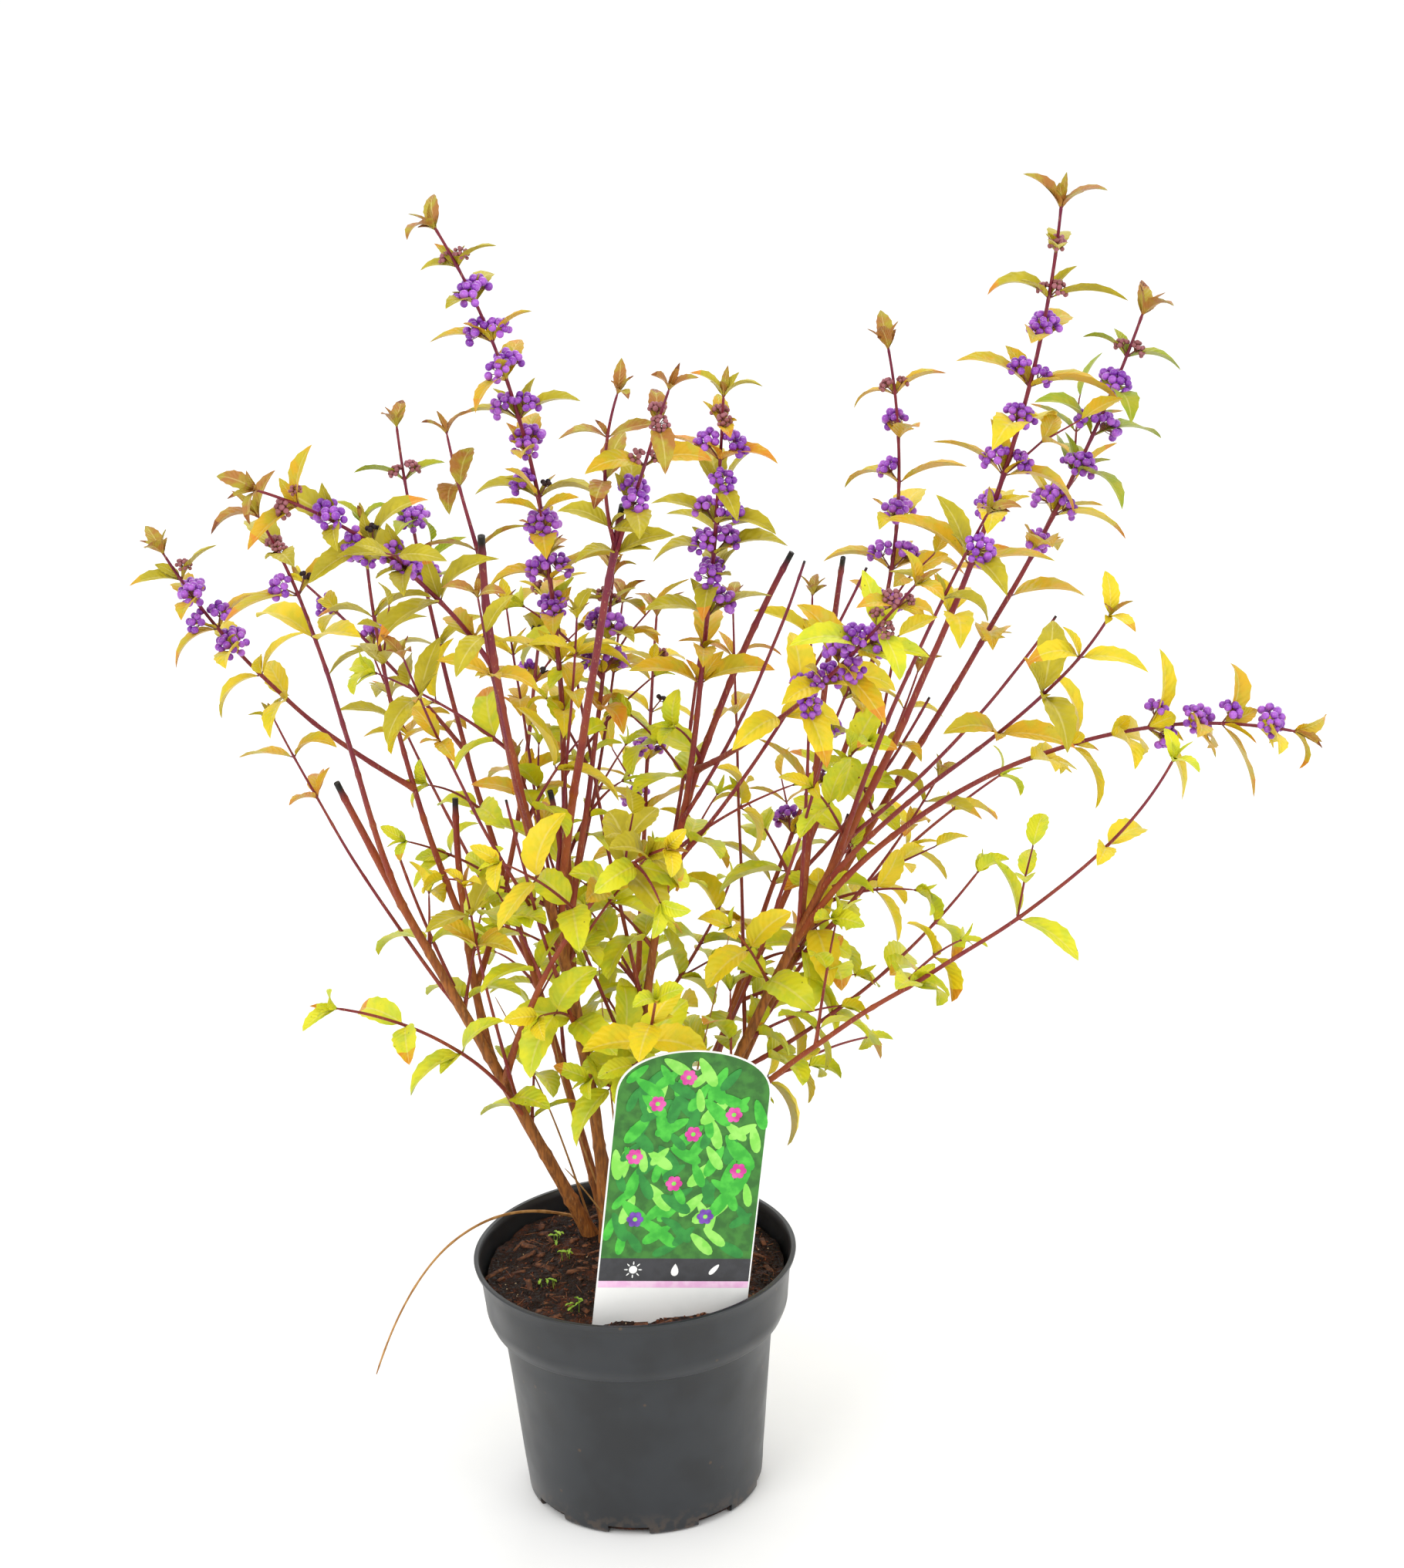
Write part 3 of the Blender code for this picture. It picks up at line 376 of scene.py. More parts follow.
# The leaf colours that a stem's sprays are dealt, from its foot to its tip
TINTS = {
    "trunk_right": ("golden", "yellow", "golden", "golden", "olive"),
    "stem_plume_left": ("yellow", "golden", "olive", "golden", "olive"),
    "stem_plume_right": ("golden", "yellow", "green", "green", "olive"),
    "stem_plume_centre": ("golden", "yellow", "golden", "golden"),
    "bough_right_long": ("yellow", "yellow", "yellow", "golden"),
    "bough_front_right": ("yellow", "golden", "lime", "golden"),
    "bough_centre": ("golden", "olive", "golden", "olive"),
    "front_left_tip": ("olive", "bronze"),
    "front_right_tip": ("olive", "golden", "bronze"),
    "bronze_tip": ("bronze", "bronze", "orange"),
    "stem_left_rear": ("olive", "green", "olive"),
    "bough_left_back": ("olive", "olive", "green"),
    "left_long_side": ("golden", "olive", "golden"),
    "bough_left_tall": ("yellow", "golden", "olive"),
    "bough_far_left": ("yellow", "golden", "olive"),
    "stem_low_right": ("lime", "lime", "yellow"),
    "low": ("lime", "lime", "yellow", "lime"),
    "other": ("golden", "olive", "yellow"),
}


# Growth: the solids' own rule

def path_of(stem):
    """The places that the stem's centre line passes through, its foot first."""
    if stem.carrier == "soil":
        foot = Vector((*stem.root, SOIL_TOP))
    else:
        foot = centre_at(BY_NAME[stem.carrier], stem.root)
    return [foot] + [Vector(point) for point in stem.points]


def centre_at(stem, share):
    """The centre line at a share of the stem's length: one smooth curve through its places."""
    path = path_of(stem)
    marks = [0.0]
    for a, b in zip(path, path[1:]):
        marks.append(marks[-1] + (b - a).length)
    marks = [mark / marks[-1] for mark in marks]
    place = Vector((0, 0, 0))
    for i, point in enumerate(path):
        weight = 1.0
        for j, mark in enumerate(marks):
            if j != i:
                weight *= (share - mark) / (marks[i] - mark)
        place += point * weight
    return place


def length_of(stem):
    """The stem's length, near enough for spacing things along it."""
    path = path_of(stem)
    return sum((b - a).length for a, b in zip(path, path[1:]))


def heading_at(stem, share):
    """The direction in which the stem grows at a share of its length."""
    return (centre_at(stem, share + 0.01) - centre_at(stem, share - 0.01)).normalized()


def wandered(stem, share):
    """The centre line with the slight wander of a real shoot, none at its ends."""
    along = share * length_of(stem) / WANDER_LENGTH
    drift = noise.noise_vector(Vector((along, len(stem.name), stem.radii[0] * 1000)))
    return centre_at(stem, share) + drift * WANDER * math.sin(math.pi * min(1.0, max(0.0, share)))


def pair_frame(stem, share, turn):
    """The stem's heading, and the direction across it in which a leaf pair spreads."""
    heading = heading_at(stem, share)
    level = heading.cross(UP)
    if level.length < 0.25:
        level = heading.cross(Vector((1, 0.2, 0)))
    level.normalize()
    rise = level.cross(heading)
    return heading, level * math.cos(turn) + rise * math.sin(turn)


def pair_share(stem, along):
    """The share of the stem's length at a share of its foliage: the pairs stand closer towards the tip."""
    start = stem.bare + (FIRST_PAIR if stem.bare else FIRST_PAIR_ON_TWIG)
    return start + (LAST_PAIR - start) * along ** PAIR_CROWDING


def leaf_size(along):
    """The share of the stem's longest leaf at a share of its foliage: small at the foot, least at the tip."""
    swell = math.sin(math.pi * (0.32 + 0.62 * along)) ** 0.8
    return LEAST_LEAF + (1 - LEAST_LEAF) * swell


class Leaf(NamedTuple):
    """One leaf: its root, the way it leaves the stem, its upper side, its size, and its colour."""

    root: Vector
    out: Vector
    upside: Vector
    length: float
    width: float
    droop: float
    tint: str


class Axil(NamedTuple):
    """A joint of the stem that bears fruit, and its share of the stem's foliage."""

    root: Vector
    heading: Vector
    spread: Vector
    along: float
    last: float


def leaf_from(root, heading, spread, lift, length, width_share, droop, tint):
    """One leaf that leaves the stem at nearly the angle lift, turned to the light."""
    lift *= LIFT_SHARE
    out = (heading * math.cos(lift) + spread * math.sin(lift)).normalized()
    upside = heading * math.sin(lift) - spread * math.cos(lift) + UP * LEAF_TO_LIGHT
    upside = (upside - out * upside.dot(out)).normalized()
    return Leaf(root, out, upside, length, length * width_share * TRUE_WIDTH, droop, tint)


def tint_at(stem, along, pick):
    """The colour that the spray at this share of the stem's foliage is dealt."""
    row = TINTS.get(stem.name) or TINTS["low" if "low" in stem.name else "other"]
    place = along * (len(row) - 1) + pick.uniform(-0.8, 0.8)
    tint = row[round(min(len(row) - 1, max(0, place)))]
    if along > 0.93 and "low" not in stem.name and pick.random() < 0.6:
        return "bronze"
    return "orange" if tint == "golden" and pick.random() < 0.08 else tint


def grow(stem, seed):
    """The stem's leaves, side twigs and fruiting axils, drawn in the order of the solids' rule.

    A second stream, pick, draws what the solids don't have, and leaves their own stream as it is.
    """
    draw = random.Random(seed)
    pick = random.Random(seed + 1000)
    leaves, twigs, axils = [], [], []
    low = "low" in stem.name
    twig_nodes = [round((k + 0.6) * stem.pairs / (stem.twigs + 1.2)) for k in range(stem.twigs)]
    axil_leaves = AXIL_LEAF_SHARE_FULL if stem.name in FULL_STEMS else AXIL_LEAF_SHARE
    if low:
        axil_leaves = AXIL_LEAF_SHARE_LOW
    for k in range(stem.pairs):
        along = k / max(1, stem.pairs - 1)
        share = pair_share(stem, along)
        turn = math.pi / 2 * (k % 2) + draw.uniform(-PAIR_TURN_VARIES, PAIR_TURN_VARIES) + PAIR_TURN
        heading, spread = pair_frame(stem, share, turn)
        root = wandered(stem, share)
        full = stem.leaf * leaf_size(along)
        tint = tint_at(stem, along, pick)
        for side in (-1, 1):
            lift = math.radians(draw.uniform(*(LEAF_LIFT if k < stem.pairs - 1 else TIP_LEAF_LIFT)))
            length = full * draw.uniform(*LEAF_VARIES)
            droop = draw.uniform(*LEAF_DROOP)
            leaves.append(leaf_from(root, heading, spread * side, lift, length, stem.width, droop, tint))
        for side in (-1, 1):
            if pick.random() < axil_leaves:
                aside = (spread * side + heading.cross(spread) * pick.choice((-1, 1))).normalized()
                lift = math.radians(pick.uniform(*AXIL_LEAF_LIFT))
                size = full * pick.uniform(*AXIL_LEAF_SIZE)
                leaves.append(leaf_from(root, heading, aside, lift, size, stem.width, LEAF_DROOP[0], tint))
        if k in twig_nodes:
            twig, carried = side_twig(stem, root, heading, spread, draw, tint)
            twigs.append(twig)
            leaves += carried
        if stem.fruit[0] <= along <= stem.fruit[1] and stem.fruit[0] < 1:
            # The solids' rule draws the size of a lump of fruit here
            draw.uniform(*FRUIT_VARIES)
            axils.append(Axil(root, heading, spread, along, stem.fruit[1]))
        elif stem.fruit[1] < along < 0.97 and stem.fruit[0] < 1:
            axils.append(Axil(root, heading, spread, 1.0, stem.fruit[1]))
    if stem.pairs:
        tint = "lime" if low else "bronze"
        size = stem.leaf * BUD_SIZE
        for side in (-1, 1):
            lift = math.radians(pick.uniform(*BUD_LIFT))
            aside = heading.cross(spread) * side
            leaves.append(leaf_from(root, heading, aside, lift, size, BUD_WIDTH_SHARE, LEAF_DROOP[0], tint))
    return leaves, twigs, axils


def side_twig(stem, root, heading, spread, draw, tint):
    """A side twig in a leaf's axil, as three places, and its pair of leaves and the one at its tip."""
    length = stem.leaf * draw.uniform(*TWIG_LENGTH)
    lean = draw.choice((-1, 1))
    out = (heading + spread * lean * TWIG_SPREAD + UP * TWIG_RISE).normalized()
    places = [root, root + out * length * 0.5, root + out * length - UP * TWIG_SAG * length]
    level = out.cross(UP).normalized()
    leaf = stem.leaf * TWIG_LEAF_SHARE
    carried = []
    for side in (-1, 1):
        lift = math.radians(draw.uniform(*LEAF_LIFT))
        size = leaf * draw.uniform(*LEAF_VARIES)
        carried.append(leaf_from(places[1], out, level * side, lift, size, stem.width, LEAF_DROOP[0], tint))
    size = leaf * draw.uniform(*LEAF_VARIES)
    lift = math.radians(TWIG_TIP_LIFT)
    carried.append(leaf_from(places[2], out, level, lift, size, stem.width, LEAF_DROOP[0], tint))
    return places, carried


def shoot_feet(table, draw):
    """Where a table's shoots leave their carriers: name, share, place, and the directions on and across."""
    for name, first, last, count in table:
        carrier = BY_NAME[name]
        for k in range(count):
            share = first + (last - first) * (k + draw.uniform(0.2, 0.8)) / count
            heading, spread = pair_frame(carrier, share, draw.uniform(0, math.tau))
            yield name, share, centre_at(carrier, share), heading, spread


def low_shoots():
    """Short shoots with a few broad leaves, in the lower half of the shrub."""
    draw = random.Random(31)
    shoots = []
    for name, share, foot, heading, spread in shoot_feet(LOW_SHOOTS, draw):
        out = (heading * 0.5 + spread + UP * 0.25).normalized()
        length = draw.uniform(*LOW_SHOOT_LENGTH)
        points = (foot + out * length * 0.5 + UP * 0.004, foot + out * length)
        pairs = 2 if length < 0.05 else 3
        shoots.append(Stem(f"low_shoot_{len(shoots)}", name, share, points, LOW_SHOOT_RADII, 0, pairs,
                           draw.uniform(*LOW_LEAF), (1.0, 1.0), 0, draw.uniform(0.44, BROAD_LEAF)))
    return shoots


def thin_shoots():
    """Thin upright shoots between the stems: some cut off, some with small leaves at the tip."""
    draw = random.Random(47)
    shoots = []
    for name, share, foot, heading, spread in shoot_feet(THIN_SHOOTS, draw):
        out = (heading + spread * draw.uniform(0.25, 0.5)).normalized()
        length = min(draw.uniform(*THIN_SHOOT_LENGTH), (THIN_SHOOT_TOP - foot.z) / max(0.3, out.z))
        bend = (out + UP * 0.25).normalized()
        points = (foot + out * length * 0.5, foot + out * length * 0.5 + bend * length * 0.5)
        cut = draw.random() < 0.5
        shoots.append(Stem(f"thin_shoot_{len(shoots)}", name, share, points, THIN_SHOOT_RADII,
                           1 if cut else THIN_SHOOT_BARE, 0 if cut else 3, THIN_LEAF))
    return shoots


def dry_twigs():
    """Dead straw-coloured twigs that stand in the soil in a ring among the stems."""
    draw = random.Random(11)
    twigs = []
    for k in range(DRY_TWIGS):
        angle = math.tau * k / DRY_TWIGS + draw.uniform(-0.3, 0.3)
        side = Vector((math.cos(angle), math.sin(angle), 0))
        foot = Vector((0.0, 0.042, 0)) + side * draw.uniform(0.010, 0.026)
        top = draw.uniform(*DRY_TWIG_TOP)
        middle = foot + side * 0.02 + UP * (SOIL_TOP + top * 0.5)
        tip = foot + side * draw.uniform(0.03, 0.06) + UP * (SOIL_TOP + top)
        twigs.append(Stem(f"dry_twig_{k}", "soil", (foot.x, foot.y), (middle, tip), DRY_TWIG_RADII, 1))
    return twigs


# Mesh building

class Batch:
    """Points and faces gathered for one piece, with two numbers for each point and a finish for each face."""

    def __init__(self):
        self.points = []
        self.marks = []
        self.faces = []
        self.finishes = []

    def add(self, points, faces, marks=None, finishes=0):
        """Adds a shape. marks has a pair for each point, and finishes is one number or one for each face."""
        first = len(self.points)
        self.points += [tuple(point) for point in points]
        self.marks += marks or [(0.0, 0.0)] * len(points)
        self.faces += [[first + i for i in face] for face in faces]
        self.finishes += [finishes] * len(faces) if isinstance(finishes, int) else finishes


def linked(name, mesh):
    """A new object in the scene with this mesh."""
    obj = bpy.data.objects.new(name, mesh)
    bpy.context.scene.collection.objects.link(obj)
    return obj


def mesh_object(name, batch, materials, sharp=60):
    """An object from a batch, shaded smooth up to the angle sharp, with the marks as its UV map."""
    mesh = bpy.data.meshes.new(name)
    mesh.from_pydata(batch.points, [], batch.faces)
    for finish in materials:
        mesh.materials.append(finish)
    mesh.polygons.foreach_set("material_index", batch.finishes)
    layer = mesh.uv_layers.new(name="own")
    corners = [0] * len(mesh.loops)
    mesh.loops.foreach_get("vertex_index", corners)
    layer.data.foreach_set("uv", [number for corner in corners for number in batch.marks[corner]])
    mesh.shade_smooth()
    mesh.set_sharp_from_angle(angle=math.radians(sharp))
    return linked(name, mesh)


def evaluated_mesh(obj):
    """Puts what the modifiers make into the mesh, and drops them."""
    bpy.context.view_layer.update()
    graph = bpy.context.evaluated_depsgraph_get()
    old = obj.data
    obj.data = bpy.data.meshes.new_from_object(obj.evaluated_get(graph))
    obj.modifiers.clear()
    bpy.data.meshes.remove(old)
    return obj


def keep(piece, slot, *nodes):
    """Attaches a finished piece to the root body and hides the solids that it stands for. The argument slot
    is not used.
    """
    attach(piece, "root")
    if nodes:
        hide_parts(*nodes)
    return piece


def ring_faces(low, high, sides):
    """The faces between two rings of points that start at the numbers low and high."""
    return [[low + k, low + (k + 1) % sides, high + (k + 1) % sides, high + k] for k in range(sides)]


# Geometry Nodes: what repeats

def add(tree, kind, settings=None, inputs=None):
    """Adds a node: settings are its properties, and inputs are values or sockets by name or number."""
    node = tree.nodes.new(kind)
    for name, value in (settings or {}).items():
        setattr(node, name, value)
    for name, value in (inputs or {}).items():
        if isinstance(value, bpy.types.NodeSocket):
            tree.links.new(value, node.inputs[name])
        else:
            node.inputs[name].default_value = value
    return node


def new_tree(name, sockets):
    """An empty Geometry Nodes tree with these named inputs, and its input node."""
    tree = bpy.data.node_groups.new(name, "GeometryNodeTree")
    tree.interface.new_socket("Geometry", in_out="INPUT", socket_type="NodeSocketGeometry")
    for label, kind in sockets:
        tree.interface.new_socket(label, in_out="INPUT", socket_type="NodeSocket" + kind)
    tree.interface.new_socket("Geometry", in_out="OUTPUT", socket_type="NodeSocketGeometry")
    return tree, add(tree, "NodeGroupInput").outputs


def end_tree(tree, geometry, finish):
    """Ends a tree in Realize Instances and Set Material."""
    real = add(tree, "GeometryNodeRealizeInstances", None, {"Geometry": geometry})
    smooth = add(tree, "GeometryNodeSetShadeSmooth", None, {"Geometry": real.outputs[0]})
    painted = add(tree, "GeometryNodeSetMaterial", None, {"Geometry": smooth.outputs[0], "Material": finish})
    add(tree, "NodeGroupOutput", None, {0: painted.outputs[0]})


def strew_tree():
    """Puts a shape on each point, turned and sized by the point's own attributes."""
    tree, given = new_tree("strew", [("Shape", "Object"), ("Size", "Float"), ("Finish", "Material")])
    shape = add(tree, "GeometryNodeObjectInfo", None, {"Object": given["Shape"]})
    turn = add(tree, "GeometryNodeInputNamedAttribute", {"data_type": "FLOAT_VECTOR"}, {"Name": "turn"})
    size = add(tree, "GeometryNodeInputNamedAttribute", {"data_type": "FLOAT_VECTOR"}, {"Name": "size"})
    scaled = add(tree, "ShaderNodeVectorMath", {"operation": "SCALE"},
                 {0: size.outputs["Attribute"], "Scale": given["Size"]})
    euler = add(tree, "FunctionNodeEulerToRotation", None, {0: turn.outputs["Attribute"]})
    placed = add(tree, "GeometryNodeInstanceOnPoints", None, {
        "Points": given["Geometry"], "Instance": shape.outputs["Geometry"],
        "Rotation": euler.outputs[0], "Scale": scaled.outputs[0]})
    end_tree(tree, placed.outputs[0], given["Finish"])
    return tree


def sow_tree():
    """Scatters a shape over a surface, at random turns and sizes from a fixed seed."""
    tree, given = new_tree("sow", [
        ("Shape", "Object"), ("Density", "Float"), ("Least size", "Vector"), ("Most size", "Vector"),
        ("Least turn", "Vector"), ("Most turn", "Vector"), ("Seed", "Int"), ("Finish", "Material")])
    shape = add(tree, "GeometryNodeObjectInfo", None, {"Object": given["Shape"]})
    spots = add(tree, "GeometryNodeDistributePointsOnFaces", {"distribute_method": "RANDOM"},
                {"Mesh": given["Geometry"], "Density": given["Density"], "Seed": given["Seed"]})
    turn = add(tree, "FunctionNodeRandomValue", {"data_type": "FLOAT_VECTOR"},
               {0: given["Least turn"], 1: given["Most turn"], "Seed": given["Seed"]})
    size = add(tree, "FunctionNodeRandomValue", {"data_type": "FLOAT_VECTOR"},
               {0: given["Least size"], 1: given["Most size"], "Seed": given["Seed"]})
    euler = add(tree, "FunctionNodeEulerToRotation", None, {0: turn.outputs[0]})
    leaning = add(tree, "FunctionNodeRotateRotation", {"rotation_space": "LOCAL"},
                  {0: spots.outputs["Rotation"], 1: euler.outputs[0]})
    placed = add(tree, "GeometryNodeInstanceOnPoints", None, {
        "Points": spots.outputs["Points"], "Instance": shape.outputs["Geometry"],
        "Rotation": leaning.outputs[0], "Scale": size.outputs[0]})
    end_tree(tree, placed.outputs[0], given["Finish"])
    return tree


def thread_tree():
    """Turns each edge into a thin stalk with the radius that its points carry."""
    tree, given = new_tree("thread", [("Sides", "Int"), ("Thickness", "Float"), ("Finish", "Material")])
    line = add(tree, "GeometryNodeMeshToCurve", None, {"Mesh": given["Geometry"]})
    ring = add(tree, "GeometryNodeCurvePrimitiveCircle", None,
               {"Resolution": given["Sides"], "Radius": given["Thickness"]})
    own = add(tree, "GeometryNodeInputNamedAttribute", {"data_type": "FLOAT"}, {"Name": "thick"})
    tube = add(tree, "GeometryNodeCurveToMesh", None, {
        "Curve": line.outputs[0], "Profile Curve": ring.outputs["Curve"],
        "Scale": own.outputs["Attribute"], "Fill Caps": True})
    end_tree(tree, tube.outputs[0], given["Finish"])
    return tree


def run_tree(obj, tree, values):
    """Runs a tree on the object with these inputs by name, and keeps the plain mesh that it makes."""
    step = obj.modifiers.new(tree.name, "NODES")
    step.node_group = tree
    ids = {item.name: item.identifier for item in tree.interface.items_tree if item.in_out == "INPUT"}
    for label, value in values.items():
        step[ids[label]] = value
    return evaluated_mesh(obj)


def points_object(name, places):
    """Loose points that carry the attributes turn and size, from (place, direction, size) rows."""
    mesh = bpy.data.meshes.new(name)
    mesh.from_pydata([tuple(place) for place, _, _ in places], [], [])
    turns = [number for _, way, _ in places for number in way.to_track_quat("Z", "Y").to_euler()]
    sizes = [number for _, _, size in places for number in size]
    mesh.attributes.new("turn", "FLOAT_VECTOR", "POINT").data.foreach_set("vector", turns)
    mesh.attributes.new("size", "FLOAT_VECTOR", "POINT").data.foreach_set("vector", sizes)
    return linked(name, mesh)


def threads_object(name, threads):
    """Loose edges that carry the attribute thick, from (start, end, start radius, end radius) rows."""
    mesh = bpy.data.meshes.new(name)
    ends = [tuple(place) for a, b, _, _ in threads for place in (a, b)]
    mesh.from_pydata(ends, [(2 * i, 2 * i + 1) for i in range(len(threads))], [])
    thick = [radius for _, _, low, high in threads for radius in (low, high)]
    mesh.attributes.new("thick", "FLOAT", "POINT").data.foreach_set("value", thick)
    return linked(name, mesh)


def seed_shape(name, points=None, subdivisions=2):
    """A small hidden shape to be repeated: a ball, or the hull of the points."""
    shape = bmesh.new()
    if points is None:
        bmesh.ops.create_icosphere(shape, subdivisions=subdivisions, radius=1.0)
    else:
        for point in points:
            shape.verts.new(point)
        bmesh.ops.convex_hull(shape, input=list(shape.verts))
    mesh = bpy.data.meshes.new(name)
    shape.to_mesh(mesh)
    shape.free()
    obj = linked(name, mesh)
    obj.hide_render = True
    return obj


# Materials

COLOURS = {"data_type": "RGBA"}
SIDE_VEINS = 9
VEIN_SLANT = 0.45


class Finish(NamedTuple):
    """A plain finish: two near colours in soft patches, the size of a patch in mm, and how it shines."""

    main: str
    other: str
    patch: float
    roughness: float
    relief: float = 0.0
    coat: float = 0.0
    specular: float = 0.5


# Each one's comment says what it is and what that gives the eye
PLAIN_FINISHES = {
    # Moist humus: dull and nearly black, so the soil reads as deep and wet
    "peat_crumb": Finish("#1E110B", "#3A2013", 5, 0.85),
    # Half-rotted wood: warm rusty specks on the black
    "rust_brown_crumb": Finish("#5A2A14", "#7A3E1E", 4, 0.8),
    # Dry root: thin lighter strokes in every direction
    "root_fibre": Finish("#6A3A20", "#8E5A34", 6, 0.75),
    # Composted pine bark: brown chips with a rough split face
    "pine_bark_chip": Finish("#4A2A1A", "#7A4A2C", 3, 0.8, 0.3),
    # Pumice and sand: a few pale sparks
    "pale_grit": Finish("#A9885E", "#C9B79A", 3, 0.6),
    # Young leaf of a sprout: fresh matt green
    "sprout_leaf": Finish("#7FA82A", "#9CC03A", 3, 0.5),
    # Bleached dead stalk: dry straw and tan with a faint grain
    "dead_stalk": Finish("#9A6A34", "#B98A50", 6, 0.7, 0.1),
    # Leaf stalk: dark red skin that goes to tan
    "leaf_stalk": Finish("#6A2A22", "#7E4A22", 5, 0.5),
    # Fruit stalk: dull red-brown between the bright berries
    "fruit_stalk": Finish("#7A3A36", "#8E5A3E", 5, 0.5),
    # Ripe drupe: violet skin under its own wax, which gives each berry a small clear highlight
    "waxy_violet_berry_skin": Finish("#7E2EA8", "#AC5CCC", 9, 0.2, coat=0.35),
    # Unripe drupe: dusky pink and duller
    "unripe_berry_skin": Finish("#8A4E50", "#A0606A", 6, 0.45),
    # Dried drupe: a matt black-brown bead
    "dried_berry_skin": Finish("#1E1014", "#3A1C22", 4, 0.7),
    # Extruded polystyrene sheet: cool white with a soft gloss
    "polystyrene_card": Finish("#F1F1EE", "#E8E9E6", 30, 0.3),
    # Offset inks under a thin varnish: clear colours with a cloudy tone, a touch glossier than the card
    "deep_green_ink": Finish("#2A6420", "#3A7E2A", 7, 0.28),
    "leaf_green_ink": Finish("#2FA32A", "#4CC03A", 7, 0.28),
    "light_green_ink": Finish("#7CCF4A", "#97DC62", 7, 0.28),
    "shade_green_ink": Finish("#1F7A2C", "#2C8E34", 7, 0.28),
    "pink_ink": Finish("#C4308C", "#DA5AA8", 7, 0.28),
    "violet_ink": Finish("#5B2E8E", "#7A4AB0", 7, 0.28),
    "charcoal_ink": Finish("#303033", "#38383C", 7, 0.28),
    "blush_ink": Finish("#E9B4DA", "#F2CDE6", 7, 0.28),
    # Uncoated paper: a matt off-white floor with hardly any sheen
    "white_paper": Finish("#F4F4F3", "#F3F3F2", 50, 0.9, specular=0.1),
}
LABEL_FINISHES = ("polystyrene_card",
                  "deep_green_ink", "leaf_green_ink", "light_green_ink", "shade_green_ink",
                  "pink_ink", "violet_ink", "charcoal_ink", "blush_ink")
WHITE, GROUND, GREEN, LIGHT, DARK, PINK, VIOLET, STRIP, BLUSH = range(len(LABEL_FINISHES))


def linear(code):
    """An sRGB hex colour as the linear values that a shader takes."""
    parts = [int(code[i:i + 2], 16) / 255 for i in (1, 3, 5)]
    return tuple(c / 12.92 if c <= 0.04045 else ((c + 0.055) / 1.055) ** 2.4 for c in parts) + (1.0,)


def new_material(name, roughness, ior, specular, coat=0.0):
    """A material with constants on its shader's sockets, its tree and shader, and the object's place."""
    made = bpy.data.materials.new(name)
    made.use_nodes = True
    tree = made.node_tree
    shader = tree.nodes["Principled BSDF"]
    constants = {"Roughness": roughness, "IOR": ior, "Specular IOR Level": specular, "Coat Weight": coat}
    for socket, value in constants.items():
        shader.inputs[socket].default_value = value
    return made, tree, shader, add(tree, "ShaderNodeTexCoord").outputs["Object"]


def own_marks(tree):
    """The two numbers that a piece's own UV map gives each point."""
    own = add(tree, "ShaderNodeUVMap", {"uv_map": "own"}).outputs[0]
    return add(tree, "ShaderNodeSeparateXYZ", None, {0: own}).outputs[:2]


def patches(tree, place, size, low, high, detail=2.0):
    """A soft mask of patches of about this size in metres: nought under low and one over high."""
    cloud = add(tree, "ShaderNodeTexNoise", None, {"Vector": place, "Scale": 1 / size, "Detail": detail})
    return add(tree, "ShaderNodeMapRange", {"interpolation_type": "SMOOTHSTEP"},
               {"Value": cloud.outputs[0], "From Min": low, "From Max": high}).outputs[0]


def spots_in(tree, place, spacing, inner, outer, most):
    """A mask of round spots this far apart in metres: most out to the share inner, and nought past outer."""
    cells = add(tree, "ShaderNodeTexVoronoi", None, {"Vector": place, "Scale": 1 / spacing})
    return add(tree, "ShaderNodeMapRange", None, {
        "Value": cells.outputs["Distance"], "From Min": inner, "From Max": outer,
        "To Min": most, "To Max": 0.0}).outputs[0]


def end_material(tree, shader, colour, height, depth, strength=1.0):
    """Gives the shader its colour and, where depth isn't nought, a relief of that depth in metres."""
    tree.links.new(colour, shader.inputs["Base Color"])
    if depth:
        bump = add(tree, "ShaderNodeBump", None, {"Height": height, "Distance": depth, "Strength": strength})
        tree.links.new(bump.outputs[0], shader.inputs["Normal"])


